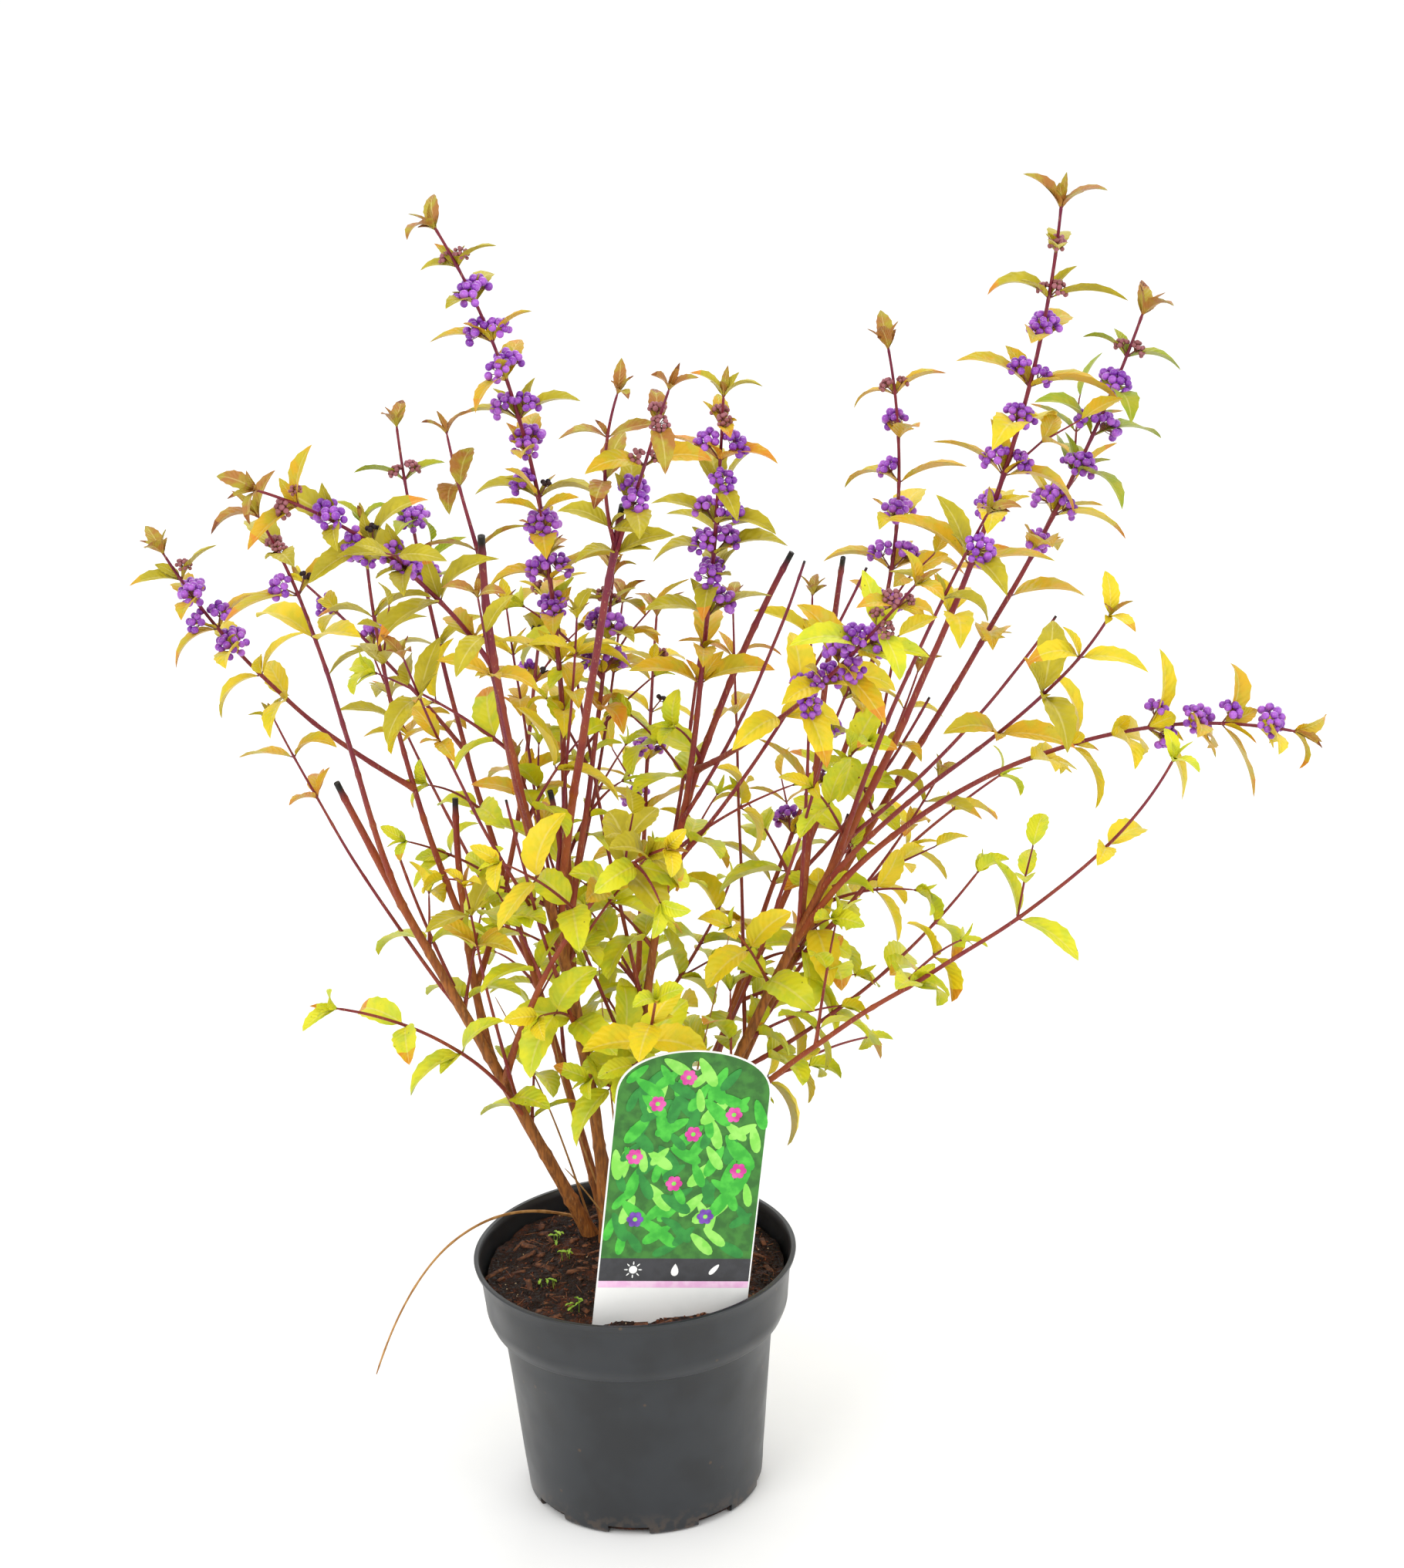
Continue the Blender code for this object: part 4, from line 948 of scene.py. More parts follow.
def leaf_material(name, main, other, spots=0.0, spot="#5A3A10"):
    """An autumn leaf: thin waxy skin with a soft mottle, a pale midrib, sunk veins and some spots."""
    made, tree, shader, place = new_material(name, 0.42, 1.42, 0.38)
    along, across = own_marks(tree)
    mottle = patches(tree, place, 9 * MM, 0.40, 0.64, 3.0)
    colour = add(tree, "ShaderNodeMix", COLOURS, {0: mottle, 6: linear(main), 7: linear(other)}).outputs[2]
    off = add(tree, "ShaderNodeMath", {"operation": "SUBTRACT"}, {0: across, 1: 0.5}).outputs[0]
    off = add(tree, "ShaderNodeMath", {"operation": "ABSOLUTE"}, {0: off}).outputs[0]
    rib = add(tree, "ShaderNodeMapRange", None,
              {"Value": off, "From Min": 0.02, "From Max": 0.05, "To Min": 0.35, "To Max": 0.0}).outputs[0]
    colour = add(tree, "ShaderNodeMix", COLOURS, {0: rib, 6: colour, 7: linear("#E8DC8C")}).outputs[2]
    if spots:
        dots = spots_in(tree, place, 4.5 * MM, 0.05, 0.13, spots)
        few = patches(tree, place, 14 * MM, 0.50, 0.62)
        dots = add(tree, "ShaderNodeMath", {"operation": "MULTIPLY"}, {0: dots, 1: few}).outputs[0]
        colour = add(tree, "ShaderNodeMix", COLOURS, {0: dots, 6: colour, 7: linear(spot)}).outputs[2]
    slant = add(tree, "ShaderNodeMath", {"operation": "MULTIPLY_ADD"},
                {0: off, 1: -VEIN_SLANT, 2: along}).outputs[0]
    vein = add(tree, "ShaderNodeMath", {"operation": "MULTIPLY"},
               {0: slant, 1: math.tau * SIDE_VEINS}).outputs[0]
    vein = add(tree, "ShaderNodeMath", {"operation": "SINE"}, {0: vein}).outputs[0]
    height = add(tree, "ShaderNodeMath", {"operation": "MULTIPLY_ADD"},
                 {0: vein, 1: 0.5, 2: mottle}).outputs[0]
    end_material(tree, shader, colour, height, 0.25 * MM, 0.7)
    return made


def leaf_materials():
    """The leaf colours by name, and that of a scorched tip."""
    return {
        "golden": leaf_material("golden_autumn_leaf", "#D2A616", "#C2AE20", 0.5),
        "yellow": leaf_material("yellow_autumn_leaf", "#E4C81E", "#D4C424", 0.3),
        "lime": leaf_material("lime_autumn_leaf", "#D6D322", "#BFC92A", 0.9, "#3A3A12"),
        "olive": leaf_material("olive_autumn_leaf", "#AEA01C", "#BCAC1E", 0.3),
        "green": leaf_material("greenish_autumn_leaf", "#93A21C", "#A9A81E", 0.2),
        "bronze": leaf_material("bronze_young_leaf", "#A87030", "#AC9A2C"),
        "orange": leaf_material("orange_autumn_leaf", "#D48A1E", "#D0A61E", 0.5),
        "scorched": leaf_material("scorched_leaf_tip", "#7A3E16", "#9A5A1A"),
    }


def bark_material():
    """Shrub bark: smooth purple-red skin on young wood, tan cork on old wood, pores, and black dead ends."""
    made, tree, shader, place = new_material("shrub_bark", 0.5, 1.45, 0.4)
    streaks = add(tree, "ShaderNodeMapping", None, {"Vector": place, "Scale": (1.0, 1.0, 0.16)}).outputs[0]
    age, dead = own_marks(tree)
    grain = patches(tree, streaks, 1.6 * MM, 0.36, 0.66, 4.0)
    cloud = patches(tree, place, 22 * MM, 0.38, 0.62)
    young = add(tree, "ShaderNodeMix", COLOURS,
                {0: cloud, 6: linear("#6E1636"), 7: linear("#7C2430")}).outputs[2]
    middle = add(tree, "ShaderNodeMix", COLOURS,
                 {0: cloud, 6: linear("#8C361A"), 7: linear("#9A4A20")}).outputs[2]
    old = add(tree, "ShaderNodeMix", COLOURS,
              {0: grain, 6: linear("#A8682E"), 7: linear("#7A4A24")}).outputs[2]
    half = add(tree, "ShaderNodeMapRange", None, {"Value": age, "From Max": 0.5}).outputs[0]
    rest = add(tree, "ShaderNodeMapRange", None, {"Value": age, "From Min": 0.5}).outputs[0]
    colour = add(tree, "ShaderNodeMix", COLOURS, {0: half, 6: young, 7: middle}).outputs[2]
    colour = add(tree, "ShaderNodeMix", COLOURS, {0: rest, 6: colour, 7: old}).outputs[2]
    pores = spots_in(tree, streaks, 1.5 * MM, 0.10, 0.22, 0.55)
    colour = add(tree, "ShaderNodeMix", COLOURS, {0: pores, 6: colour, 7: linear("#B98A5A")}).outputs[2]
    colour = add(tree, "ShaderNodeMix", COLOURS, {0: dead, 6: colour, 7: linear("#120C0C")}).outputs[2]
    rough = add(tree, "ShaderNodeMapRange", None, {"Value": age, "To Min": 0.38, "To Max": 0.72})
    tree.links.new(rough.outputs[0], shader.inputs["Roughness"])
    height = add(tree, "ShaderNodeMath", {"operation": "ADD"}, {0: grain, 1: pores}).outputs[0]
    end_material(tree, shader, colour, height, 0.25 * MM, 0.8)
    return made


def plain_material(name):
    """One of the plain finishes."""
    finish = PLAIN_FINISHES[name]
    made, tree, shader, place = new_material(name, finish.roughness, 1.45, finish.specular, finish.coat)
    mask = patches(tree, place, finish.patch * MM, 0.38, 0.64, 3.0)
    colours = {0: mask, 6: linear(finish.main), 7: linear(finish.other)}
    colour = add(tree, "ShaderNodeMix", COLOURS, colours).outputs[2]
    end_material(tree, shader, colour, mask, finish.relief * MM)
    return made


def pot_material():
    """Moulded polypropylene, satin charcoal: faint flow marks, a fine spark texture, dried splashes."""
    made, tree, shader, place = new_material("injection_moulded_polypropylene", 0.40, 1.49, 0.5)
    flow = patches(tree, place, 30 * MM, 0.35, 0.65)
    colour = add(tree, "ShaderNodeMix", COLOURS,
                 {0: flow, 6: linear("#1F2124"), 7: linear("#26292D")}).outputs[2]
    drops = spots_in(tree, place, 11 * MM, 0.07, 0.12, 0.85)
    some = patches(tree, place, 18 * MM, 0.46, 0.58)
    drops = add(tree, "ShaderNodeMath", {"operation": "MULTIPLY"}, {0: drops, 1: some}).outputs[0]
    colour = add(tree, "ShaderNodeMix", COLOURS, {0: drops, 6: colour, 7: linear("#4E3D2E")}).outputs[2]
    high = add(tree, "ShaderNodeSeparateXYZ", None, {0: place}).outputs[2]
    foot = add(tree, "ShaderNodeMapRange", None,
               {"Value": high, "From Min": 0.0, "From Max": 0.016, "To Min": 0.6, "To Max": 0.0}).outputs[0]
    dusty = patches(tree, place, 6 * MM, 0.45, 0.60, 4.0)
    dust = add(tree, "ShaderNodeMath", {"operation": "MULTIPLY"}, {0: foot, 1: dusty}).outputs[0]
    colour = add(tree, "ShaderNodeMix", COLOURS, {0: dust, 6: colour, 7: linear("#5A4A3C")}).outputs[2]
    smear = patches(tree, place, 40 * MM, 0.35, 0.65, 3.0)
    rough = add(tree, "ShaderNodeMapRange", None, {"Value": smear, "To Min": 0.30, "To Max": 0.42})
    tree.links.new(rough.outputs[0], shader.inputs["Roughness"])
    grit = add(tree, "ShaderNodeTexNoise", None, {"Vector": place, "Scale": 1 / (1.0 * MM)}).outputs[0]
    end_material(tree, shader, colour, grit, 0.02 * MM)
    return made


def soil_material():
    """Moist peat: near black, with rust-brown fibre patches and wet glints."""
    made, tree, shader, place = new_material("moist_peat", 0.8, 1.4, 0.35)
    rusty = patches(tree, place, 12 * MM, 0.48, 0.66, 4.0)
    crumbs = patches(tree, place, 1.8 * MM, 0.35, 0.65, 4.0)
    dark = add(tree, "ShaderNodeMix", COLOURS,
               {0: crumbs, 6: linear("#160C08"), 7: linear("#2E1A12")}).outputs[2]
    rust = add(tree, "ShaderNodeMix", COLOURS,
               {0: crumbs, 6: linear("#3A1C10"), 7: linear("#5A2E18")}).outputs[2]
    colour = add(tree, "ShaderNodeMix", COLOURS, {0: rusty, 6: dark, 7: rust}).outputs[2]
    wet = add(tree, "ShaderNodeMapRange", None, {"Value": crumbs, "To Min": 0.45, "To Max": 0.95})
    tree.links.new(wet.outputs[0], shader.inputs["Roughness"])
    end_material(tree, shader, colour, crumbs, 0.8 * MM)
    return made


# Stems

def joints_of(stem):
    """The shares of the stem's length with leaf joints: even steps on the bare part, then its pairs."""
    steps = int(stem.bare * length_of(stem) / JOINT_SPACING)
    bare = [stem.bare * (i + 0.7) / steps for i in range(steps)]
    return bare + [pair_share(stem, k / max(1, stem.pairs - 1)) for k in range(stem.pairs)]


def bark_tube(stem, batch):
    """The stem's bark from foot to tip: swollen joints, furrows on old wood, a collar where it forks off."""
    length = length_of(stem)
    foot, tip = stem.radii
    in_soil = stem.carrier == "soil"
    cut = stem.bare == 1 and not stem.name.startswith("dry")
    dead_end = DEAD_END if foot > THICK_STEM else THIN_DEAD_END
    sides = 12 if foot > 0.0025 else (9 if foot > 0.0014 else 7)
    joints = joints_of(stem)
    first = -SUNK_FOOT / length if in_soil else 0.0
    steps = max(4, round((1 - first) * length / RING_SPACING))
    points, marks, faces = [], [], []
    side = None
    seed = sum(map(ord, stem.name))
    for share in [first + (1 - first) * i / steps for i in range(steps + 1)]:
        heading = (centre_at(stem, share + 0.004) - centre_at(stem, share - 0.004)).normalized()
        side = side or heading.cross(Vector((0.3, 1, 0.1))).normalized()
        side = (side - heading * side.dot(heading)).normalized()
        across = heading.cross(side)
        radius = foot + (tip - foot) * max(0.0, share)
        radius *= 1 if cut else 1 - TIP_THINNING * max(0.0, share)
        reach = max(0.0, share) * length
        if in_soil:
            radius *= 1 + FOOT_FLARE * math.exp(-reach / FLARE_LENGTH)
        else:
            radius *= 1 + FORK_SWELL * math.exp(-reach / FORK_LENGTH)
        near = min((abs(share - joint) * length for joint in joints), default=1.0)
        radius *= 1 + JOINT_SWELL * math.exp(-((near / JOINT_LENGTH) ** 2))
        if not cut and share > 1 - 1e-9:
            radius *= ROUNDED_TIP
        centre = wandered(stem, share)
        age = age_of(radius, centre.z)
        dead = max(0.0, 1 - (1 - share) * length / dead_end) if cut else 0.0
        for k in range(sides):
            angle = math.tau * k / sides
            spot = Vector((math.cos(angle) * 1.6, math.sin(angle) * 1.6 + seed, share * length * 90))
            ripple = 1 + (0.03 + 0.05 * age) * noise.noise(spot)
            points.append(centre + (side * math.cos(angle) + across * math.sin(angle)) * radius * ripple)
            marks.append((age, min(1.0, dead * 1.6)))
    for i in range(steps):
        faces += ring_faces(i * sides, (i + 1) * sides, sides)
    faces.append(list(range(sides))[::-1])
    faces.append(list(range(steps * sides, (steps + 1) * sides)))
    batch.add(points, faces, marks)


def age_of(radius, height):
    """How old the wood looks, from nought on a young tip to one on a thick low trunk."""
    low = max(0.0, min(1.0, (OLD_WOOD_TOP - height) / OLD_WOOD_FADE))
    thick = max(0.0, min(1.0, (radius - 0.0012) / 0.0020))
    return min(1.0, 0.25 * low + 0.75 * low * thick + 0.12 * thick)


def twig_tube(places, radii, batch, sides=5):
    """A small twig through a few places."""
    points, faces = [], []
    for i, place in enumerate(places):
        heading = (places[min(i + 1, len(places) - 1)] - places[max(i - 1, 0)]).normalized()
        side = heading.cross(Vector((0.3, 1, 0.1))).normalized()
        across = heading.cross(side)
        for k in range(sides):
            angle = math.tau * k / sides
            points.append(place + (side * math.cos(angle) + across * math.sin(angle)) * radii[i])
    for i in range(len(places) - 1):
        faces += ring_faces(i * sides, (i + 1) * sides, sides)
    faces.append(list(range(sides))[::-1])
    faces.append(list(range(len(points) - sides, len(points))))
    batch.add(points, faces, [(TWIG_AGE, 0.0)] * len(points))


# Leaves

STALK, BLADE, TIP = range(3)


def blade(leaf, draw):
    """A leaf's closed shell: an arched, folded and toothed blade on a short stalk, with a rib underneath.

    It gives the points, their places along and across the blade, the faces, and for each face whether it
    belongs to the stalk, the blade or the tip.
    """
    arch = leaf.droop * ARCH_OF_DROOP * draw.uniform(*ARCH_VARIES)
    twist = draw.uniform(*BLADE_TWIST)
    sickle = draw.uniform(*BLADE_SICKLE)
    fold = draw.uniform(*BLADE_FOLD)
    wave = draw.uniform(*BLADE_WAVE)
    phase = draw.uniform(0, math.tau)
    rise, fall = BROAD_OUTLINE if leaf.width > LEAF_WIDTH_SHARE * leaf.length else SLIM_OUTLINE
    peak = rise / (rise + fall)
    most = peak ** rise * (1 - peak) ** fall
    across = leaf.out.cross(leaf.upside).normalized()
    place = leaf.root.copy()
    points, marks = [], []
    steps = [0.0] + [PETIOLE_SHARE + (1 - PETIOLE_SHARE) * i / BLADE_STEPS for i in range(BLADE_STEPS + 1)]
    last = 0.0
    for i, t in enumerate(steps):
        bend = arch * t ** 1.15
        way = leaf.out * math.cos(bend) - leaf.upside * math.sin(bend)
        face_up = leaf.upside * math.cos(bend) + leaf.out * math.sin(bend)
        place = place + (way + across * sickle * 2 * t) * (t - last) * leaf.length
        last = t
        if i == len(steps) - 1:
            points.append(place)
            marks.append((1.0, 0.5))
            break
        turned = twist * t
        wide = across * math.cos(turned) + face_up * math.sin(turned)
        high = face_up * math.cos(turned) - across * math.sin(turned)
        s = max(0.0, (t - PETIOLE_SHARE) / (1 - PETIOLE_SHARE))
        half = leaf.width / 2 * (s ** rise * (1 - s) ** fall) / most if s > 0 else 0.0
        if 0.3 < s < 0.97 and i % 2:
            half *= 1 - TOOTH_DEPTH
        half = max(half, PETIOLE_RADIUS)
        for v in (-1.0, -0.5, 0.0, 0.5, 1.0):
            lift = fold * abs(v) * (1 - 0.45 * abs(v)) * half
            lift += wave * abs(v) * half * math.sin(5.5 * t * math.pi / 2 + phase + v)
            points.append(place + wide * v * half + high * lift)
            marks.append((t, 0.5 + v / 2))
        points.append(place - high * (BLADE_THICKNESS + PETIOLE_RADIUS * max(0.0, 0.5 - t)))
        marks.append((t, 0.5))
    faces, parts = [[4, 3, 2, 1, 0, 5]], [STALK]
    rows = len(steps) - 1
    for i in range(rows - 1):
        a, b = 6 * i, 6 * (i + 1)
        faces += [[a + j, a + j + 1, b + j + 1, b + j] for j in range(4)]
        faces += [[a + 5, a, b, b + 5], [a + 4, a + 5, b + 5, b + 4]]
        parts += [STALK if i == 0 else (TIP if i > rows - 4 else BLADE)] * 6
    a, tip = 6 * (rows - 1), 6 * rows
    faces += [[a + j, a + j + 1, tip] for j in range(4)] + [[a + 5, a, tip], [a + 4, a + 5, tip]]
    parts += [TIP] * 6
    return points, marks, faces, parts


def clear_blade(leaf, trees, draw):
    """The leaf's blade, swung aside if need be, or None where it stays in a limb, the label or the pot."""
    tried = leaf
    for attempt in range(TRIES_TO_CLEAR):
        if attempt:
            swing = Matrix.Rotation(draw.uniform(-0.5, 0.5), 3, leaf.upside)
            out = (swing @ leaf.out + leaf.upside * draw.uniform(-0.15, 0.25)).normalized()
            upside = (leaf.upside - out * leaf.upside.dot(out)).normalized()
            tried = leaf._replace(out=out, upside=upside)
        points, marks, faces, parts = blade(tried, draw)
        if min(point.z for point in points) < LOWEST_LEAF:
            continue
        tree = BVHTree.FromPolygons(points, [face for face, part in zip(faces, parts) if part != STALK])
        if not any(tree.overlap(other) for other in trees):
            return points, marks, faces, parts
    return None


def leaves_pieces(leaves, trees):
    """Joins the leaves that keep clear of the limbs and the label, one piece for each colour."""
    draw = random.Random(77)
    finishes = leaf_materials()
    stalk = plain_material("leaf_stalk")
    batches = {tint: Batch() for tint in finishes}
    for leaf in leaves:
        made = clear_blade(leaf, trees, draw)
        if made is None:
            continue
        points, marks, faces, parts = made
        scorched = draw.random() < (0.30 if leaf.tint in ("golden", "orange", "bronze") else 0.12)
        numbers = [(1, 0, 2 if scorched else 0)[part] for part in parts]
        batches[leaf.tint].add(points, faces, marks, numbers)
    pieces = []
    for tint, batch in batches.items():
        if batch.points:
            tip = finishes["scorched"] if tint == "bronze" else finishes["orange"]
            pieces.append(mesh_object("leaves_" + tint, batch, [finishes[tint], stalk, tip], 70))
    return pieces


# Fruit

def clusters(axils):
    """Berries by ripeness as (place, direction, size) rows, and the stalks that carry them."""
    draw = random.Random(19)
    berries = {"ripe": [], "unripe": [], "dried": []}
    threads = []
    for axil in axils:
        for side in (-1, 1):
            if draw.random() < BARE_AXIL_SHARE:
                continue
            unripe = axil.along > axil.last - 0.04
            kind = "unripe" if unripe else ("dried" if draw.random() < DRIED_SHARE else "ripe")
            sizes = {"ripe": draw.uniform(*RIPE_VARIES), "unripe": UNRIPE_SIZE * draw.uniform(0.8, 1.2),
                     "dried": DRIED_SIZE}
            size = sizes[kind]
            count = DRIED_BERRIES if kind == "dried" else draw.randint(*BERRIES)
            axis = (axil.heading * 0.75 + axil.spread * side * 0.8 + UP * 0.30).normalized()
            stalk = draw.uniform(*STALK_LENGTH) * (0.8 if unripe else 1.0)
            fork = axil.root + axis * stalk
            threads.append((axil.root, fork, 0.55, 0.42))
            level = axis.cross(Vector((0.2, 0.1, 1))).normalized()
            other = axis.cross(level)
            reach = BERRY_RADIUS * size * 0.84 * math.sqrt(count)
            phase = draw.uniform(0, math.tau)
            for i in range(count):
                polar = math.acos(1 - 1.05 * (i + 0.5) / count)
                angle = i * GOLDEN_ANGLE + phase
                way = axis * math.cos(polar) * 0.85
                way += (level * math.cos(angle) + other * math.sin(angle)) * math.sin(polar)
                place = fork + way * reach * draw.uniform(0.92, 1.12) + axis * BERRY_RADIUS * size * 0.9
                own = size * draw.uniform(*BERRY_VARIES)
                berries[kind].append((place, way, (own, own, own * 0.94)))
                threads.append((fork, place - way * BERRY_RADIUS * own * 0.8, 0.30, 0.22))
    return berries, threads


# Pot

def turned_points(profile, sides):
    """Points and faces of a closed solid turned about Z from (radius, height) points that end on the axis."""
    points, rings, faces = [], [], []
    for radius, height in profile:
        count = sides if radius > 0 else 1
        rings.append(range(len(points), len(points) + count))
        for i in range(count):
            angle = math.tau * i / sides
            points.append(Vector((radius * math.cos(angle), radius * math.sin(angle), height)))
    for low, high in zip(rings, rings[1:]):
        for i in range(sides):
            j = (i + 1) % sides
            corners = [low[i % len(low)], low[j % len(low)], high[j % len(high)], high[i % len(high)]]
            faces.append(list(dict.fromkeys(corners)))
    return points, faces


def arc(centre, radius, start, end, steps):
    """Points of an arc in the profile's plane, from one angle to another in degrees."""
    angles = [math.radians(start + (end - start) * i / steps) for i in range(steps + 1)]
    return [(centre[0] + radius * math.cos(a), centre[1] + radius * math.sin(a)) for a in angles]


def straight(start, end, steps):
    """Points of a straight run in the profile's plane, without its start."""
    (x, z), (end_x, end_z) = start, end
    return [(x + (end_x - x) * i / steps, z + (end_z - z) * i / steps) for i in range(1, steps + 1)]


def pot_profile():
    """The pot's outside from the middle of its underside to its lip, then its inside down to its floor."""
    foot = POT_HEIGHT - COLLAR_DROP
    lip = POT_HEIGHT - LIP_HEIGHT
    edge = LIP_DEPTH / 2
    turn = COLLAR_FOOT_ROUNDING
    outside = [(0, 0), (0.03, 0), (BASE_RADIUS - BASE_ROUNDING, 0)]
    outside += arc((BASE_RADIUS - BASE_ROUNDING, BASE_ROUNDING), BASE_ROUNDING, -60, 0, 4)
    outside += straight((BASE_RADIUS, BASE_ROUNDING), (BODY_TOP_RADIUS, foot - BODY_END), 12)
    outside += [(BODY_TOP_RADIUS + SOFT_EDGE, foot - 2 * SOFT_EDGE)]
    outside += [(COLLAR_FOOT_RADIUS - BODY_END, foot - SOFT_EDGE / 2)]
    outside += arc((COLLAR_FOOT_RADIUS - turn, foot + turn), turn, -90, -10, 5)
    bulge = COLLAR_SIDE_RADIUS - COLLAR_FOOT_RADIUS
    for i in range(1, 9):
        share = i / 8
        outside.append((COLLAR_FOOT_RADIUS + bulge * math.sin(share * math.pi / 2) ** 0.9,
                        foot + turn + (COLLAR_CURVE - turn) * share))
    side_foot = COLLAR_SIDE_RADIUS, foot + COLLAR_CURVE
    outside += straight(side_foot, (COLLAR_TOP_RADIUS - SOFT_EDGE, lip - turn), 5)
    outside += [(COLLAR_TOP_RADIUS, lip - SOFT_EDGE), (RIM_RADIUS - SOFT_EDGE, lip)]
    outside += arc((RIM_RADIUS - edge, POT_HEIGHT - edge), edge, -30, 90, 6)
    inside = [(RIM_RADIUS - LIP_DEPTH - WALL * 0.6, POT_HEIGHT),
              (RIM_RADIUS - LIP_DEPTH - WALL, POT_HEIGHT - SOFT_EDGE),
              (COLLAR_TOP_RADIUS - WALL, lip - 0.001),
              (COLLAR_SIDE_RADIUS - WALL, foot + COLLAR_CURVE),
              (COLLAR_FOOT_RADIUS - WALL, foot + 2 * turn),
              (BODY_TOP_RADIUS - WALL, foot + WALL),
              (BASE_RADIUS - WALL, FLOOR), (0, FLOOR)]
    return outside + inside


def make_pot(finish):
    """The moulded pot, its wall slightly out of true, with drain slots through the edge of its base."""
    batch = Batch()
    points, faces = turned_points(pot_profile(), POT_SIDES)
    for point in points:
        out = Vector((point.x, point.y, 0))
        if 0.02 < point.z < POT_HEIGHT - COLLAR_DROP - 0.004 and out.length > BASE_RADIUS:
            point += out.normalized() * (noise.noise(point * 22) * WALL_SWAY)
    batch.add(points, faces)
    pot = mesh_object("moulded_pot", batch, [finish], 40)
    turn_outwards(pot)
    cutters = bpy.data.collections.new("slots")
    bpy.context.scene.collection.children.link(cutters)
    for i in range(DRAIN_SLOTS):
        angle = math.tau * (i + 0.5) / DRAIN_SLOTS - math.pi / 2 + DRAIN_TURN
        along = Vector((math.cos(angle), math.sin(angle), 0))
        across = Vector((-math.sin(angle), math.cos(angle), 0))
        corners = []
        for height in (-SLOT_MARGIN, SLOT_HEIGHT):
            for out, side in ((-1, -1), (1, -1), (1, 1), (-1, 1)):
                radius = BASE_RADIUS + (SLOT_MARGIN if out > 0 else -SLOT_DEPTH)
                corners.append(along * radius + across * side * SLOT_WIDTH / 2 + UP * height)
        slot = Batch()
        slot.add(corners, [(3, 2, 1, 0), (4, 5, 6, 7)] + ring_faces(0, 4, 4))
        cutter = mesh_object(f"slot_{i}", slot, [])
        turn_outwards(cutter)
        bpy.context.scene.collection.objects.unlink(cutter)
        cutters.objects.link(cutter)
    cut = pot.modifiers.new("slots", "BOOLEAN")
    cut.operation = "DIFFERENCE"
    cut.operand_type = "COLLECTION"
    cut.collection = cutters
    evaluated_mesh(pot)
    for cutter in list(cutters.objects):
        bpy.data.objects.remove(cutter, do_unlink=True)
    bpy.data.collections.remove(cutters)
    pot.data.set_sharp_from_angle(angle=math.radians(40))
    return pot


def turn_outwards(obj):
    """Merges doubles and turns the faces of a closed mesh outwards."""
    shape = bmesh.new()
    shape.from_mesh(obj.data)
    bmesh.ops.remove_doubles(shape, verts=shape.verts, dist=1e-7)
    bmesh.ops.recalc_face_normals(shape, faces=shape.faces)
    shape.to_mesh(obj.data)
    shape.free()


# Soil

def soil_height(x, y):
    """The soil's surface: small crumbs everywhere, larger clods towards the rim, and a lower edge."""
    radius = math.hypot(x, y)
    clods = noise.noise(Vector((x * 60, y * 60, 3.0))) * 0.0036
    crumbs = noise.noise(Vector((x * 220, y * 220, 9.0))) * 0.0011
    crumbs += noise.noise(Vector((x * 700, y * 700, 1))) * 0.0005
    loose = min(1.0, max(0.25, (radius - 0.02) / (FEET_RADIUS - 0.02)))
    return SOIL_TOP - 0.0006 + clods * loose + crumbs - 0.002 * max(0.0, (radius - FEET_RADIUS) / 0.024) ** 2


def make_soil(finish):
    """The soil as one closed block that fills the pot, and its crumbly top by itself, to be strewn."""
    edge = COLLAR_SIDE_RADIUS - WALL - SOIL_GAP
    foot = POT_HEIGHT - COLLAR_DROP
    points, faces = [Vector((0, 0, soil_height(0, 0)))], []
    for ring in range(1, SOIL_RINGS + 1):
        for k in range(SOIL_SIDES):
            angle = math.tau * k / SOIL_SIDES
            x, y = edge * ring / SOIL_RINGS * math.cos(angle), edge * ring / SOIL_RINGS * math.sin(angle)
            points.append(Vector((x, y, soil_height(x, y))))
    faces += [[0, 1 + k, 1 + (k + 1) % SOIL_SIDES] for k in range(SOIL_SIDES)]
    for ring in range(SOIL_RINGS - 1):
        faces += ring_faces(1 + (ring + 1) * SOIL_SIDES, 1 + ring * SOIL_SIDES, SOIL_SIDES)
    strewn = faces[SOIL_SIDES:-2 * SOIL_SIDES]
    walls = [(edge, foot + COLLAR_CURVE), (COLLAR_FOOT_RADIUS - WALL - SOIL_GAP, foot + 0.005),
             (BODY_TOP_RADIUS - WALL - SOIL_GAP * 1.5, foot), (BASE_RADIUS - WALL - SOIL_GAP, FLOOR + 0.0003)]
    for radius, height in walls:
        first = len(points)
        for k in range(SOIL_SIDES):
            angle = math.tau * k / SOIL_SIDES
            points.append(Vector((radius * math.cos(angle), radius * math.sin(angle), height)))
        faces += ring_faces(first, first - SOIL_SIDES, SOIL_SIDES)
    faces.append(list(range(len(points) - SOIL_SIDES, len(points)))[::-1])
    batch, top = Batch(), Batch()
    batch.add(points, faces)
    top.add(points, strewn)
    return mesh_object("peat_soil", batch, [finish], 80), mesh_object("soil_top", top, [])


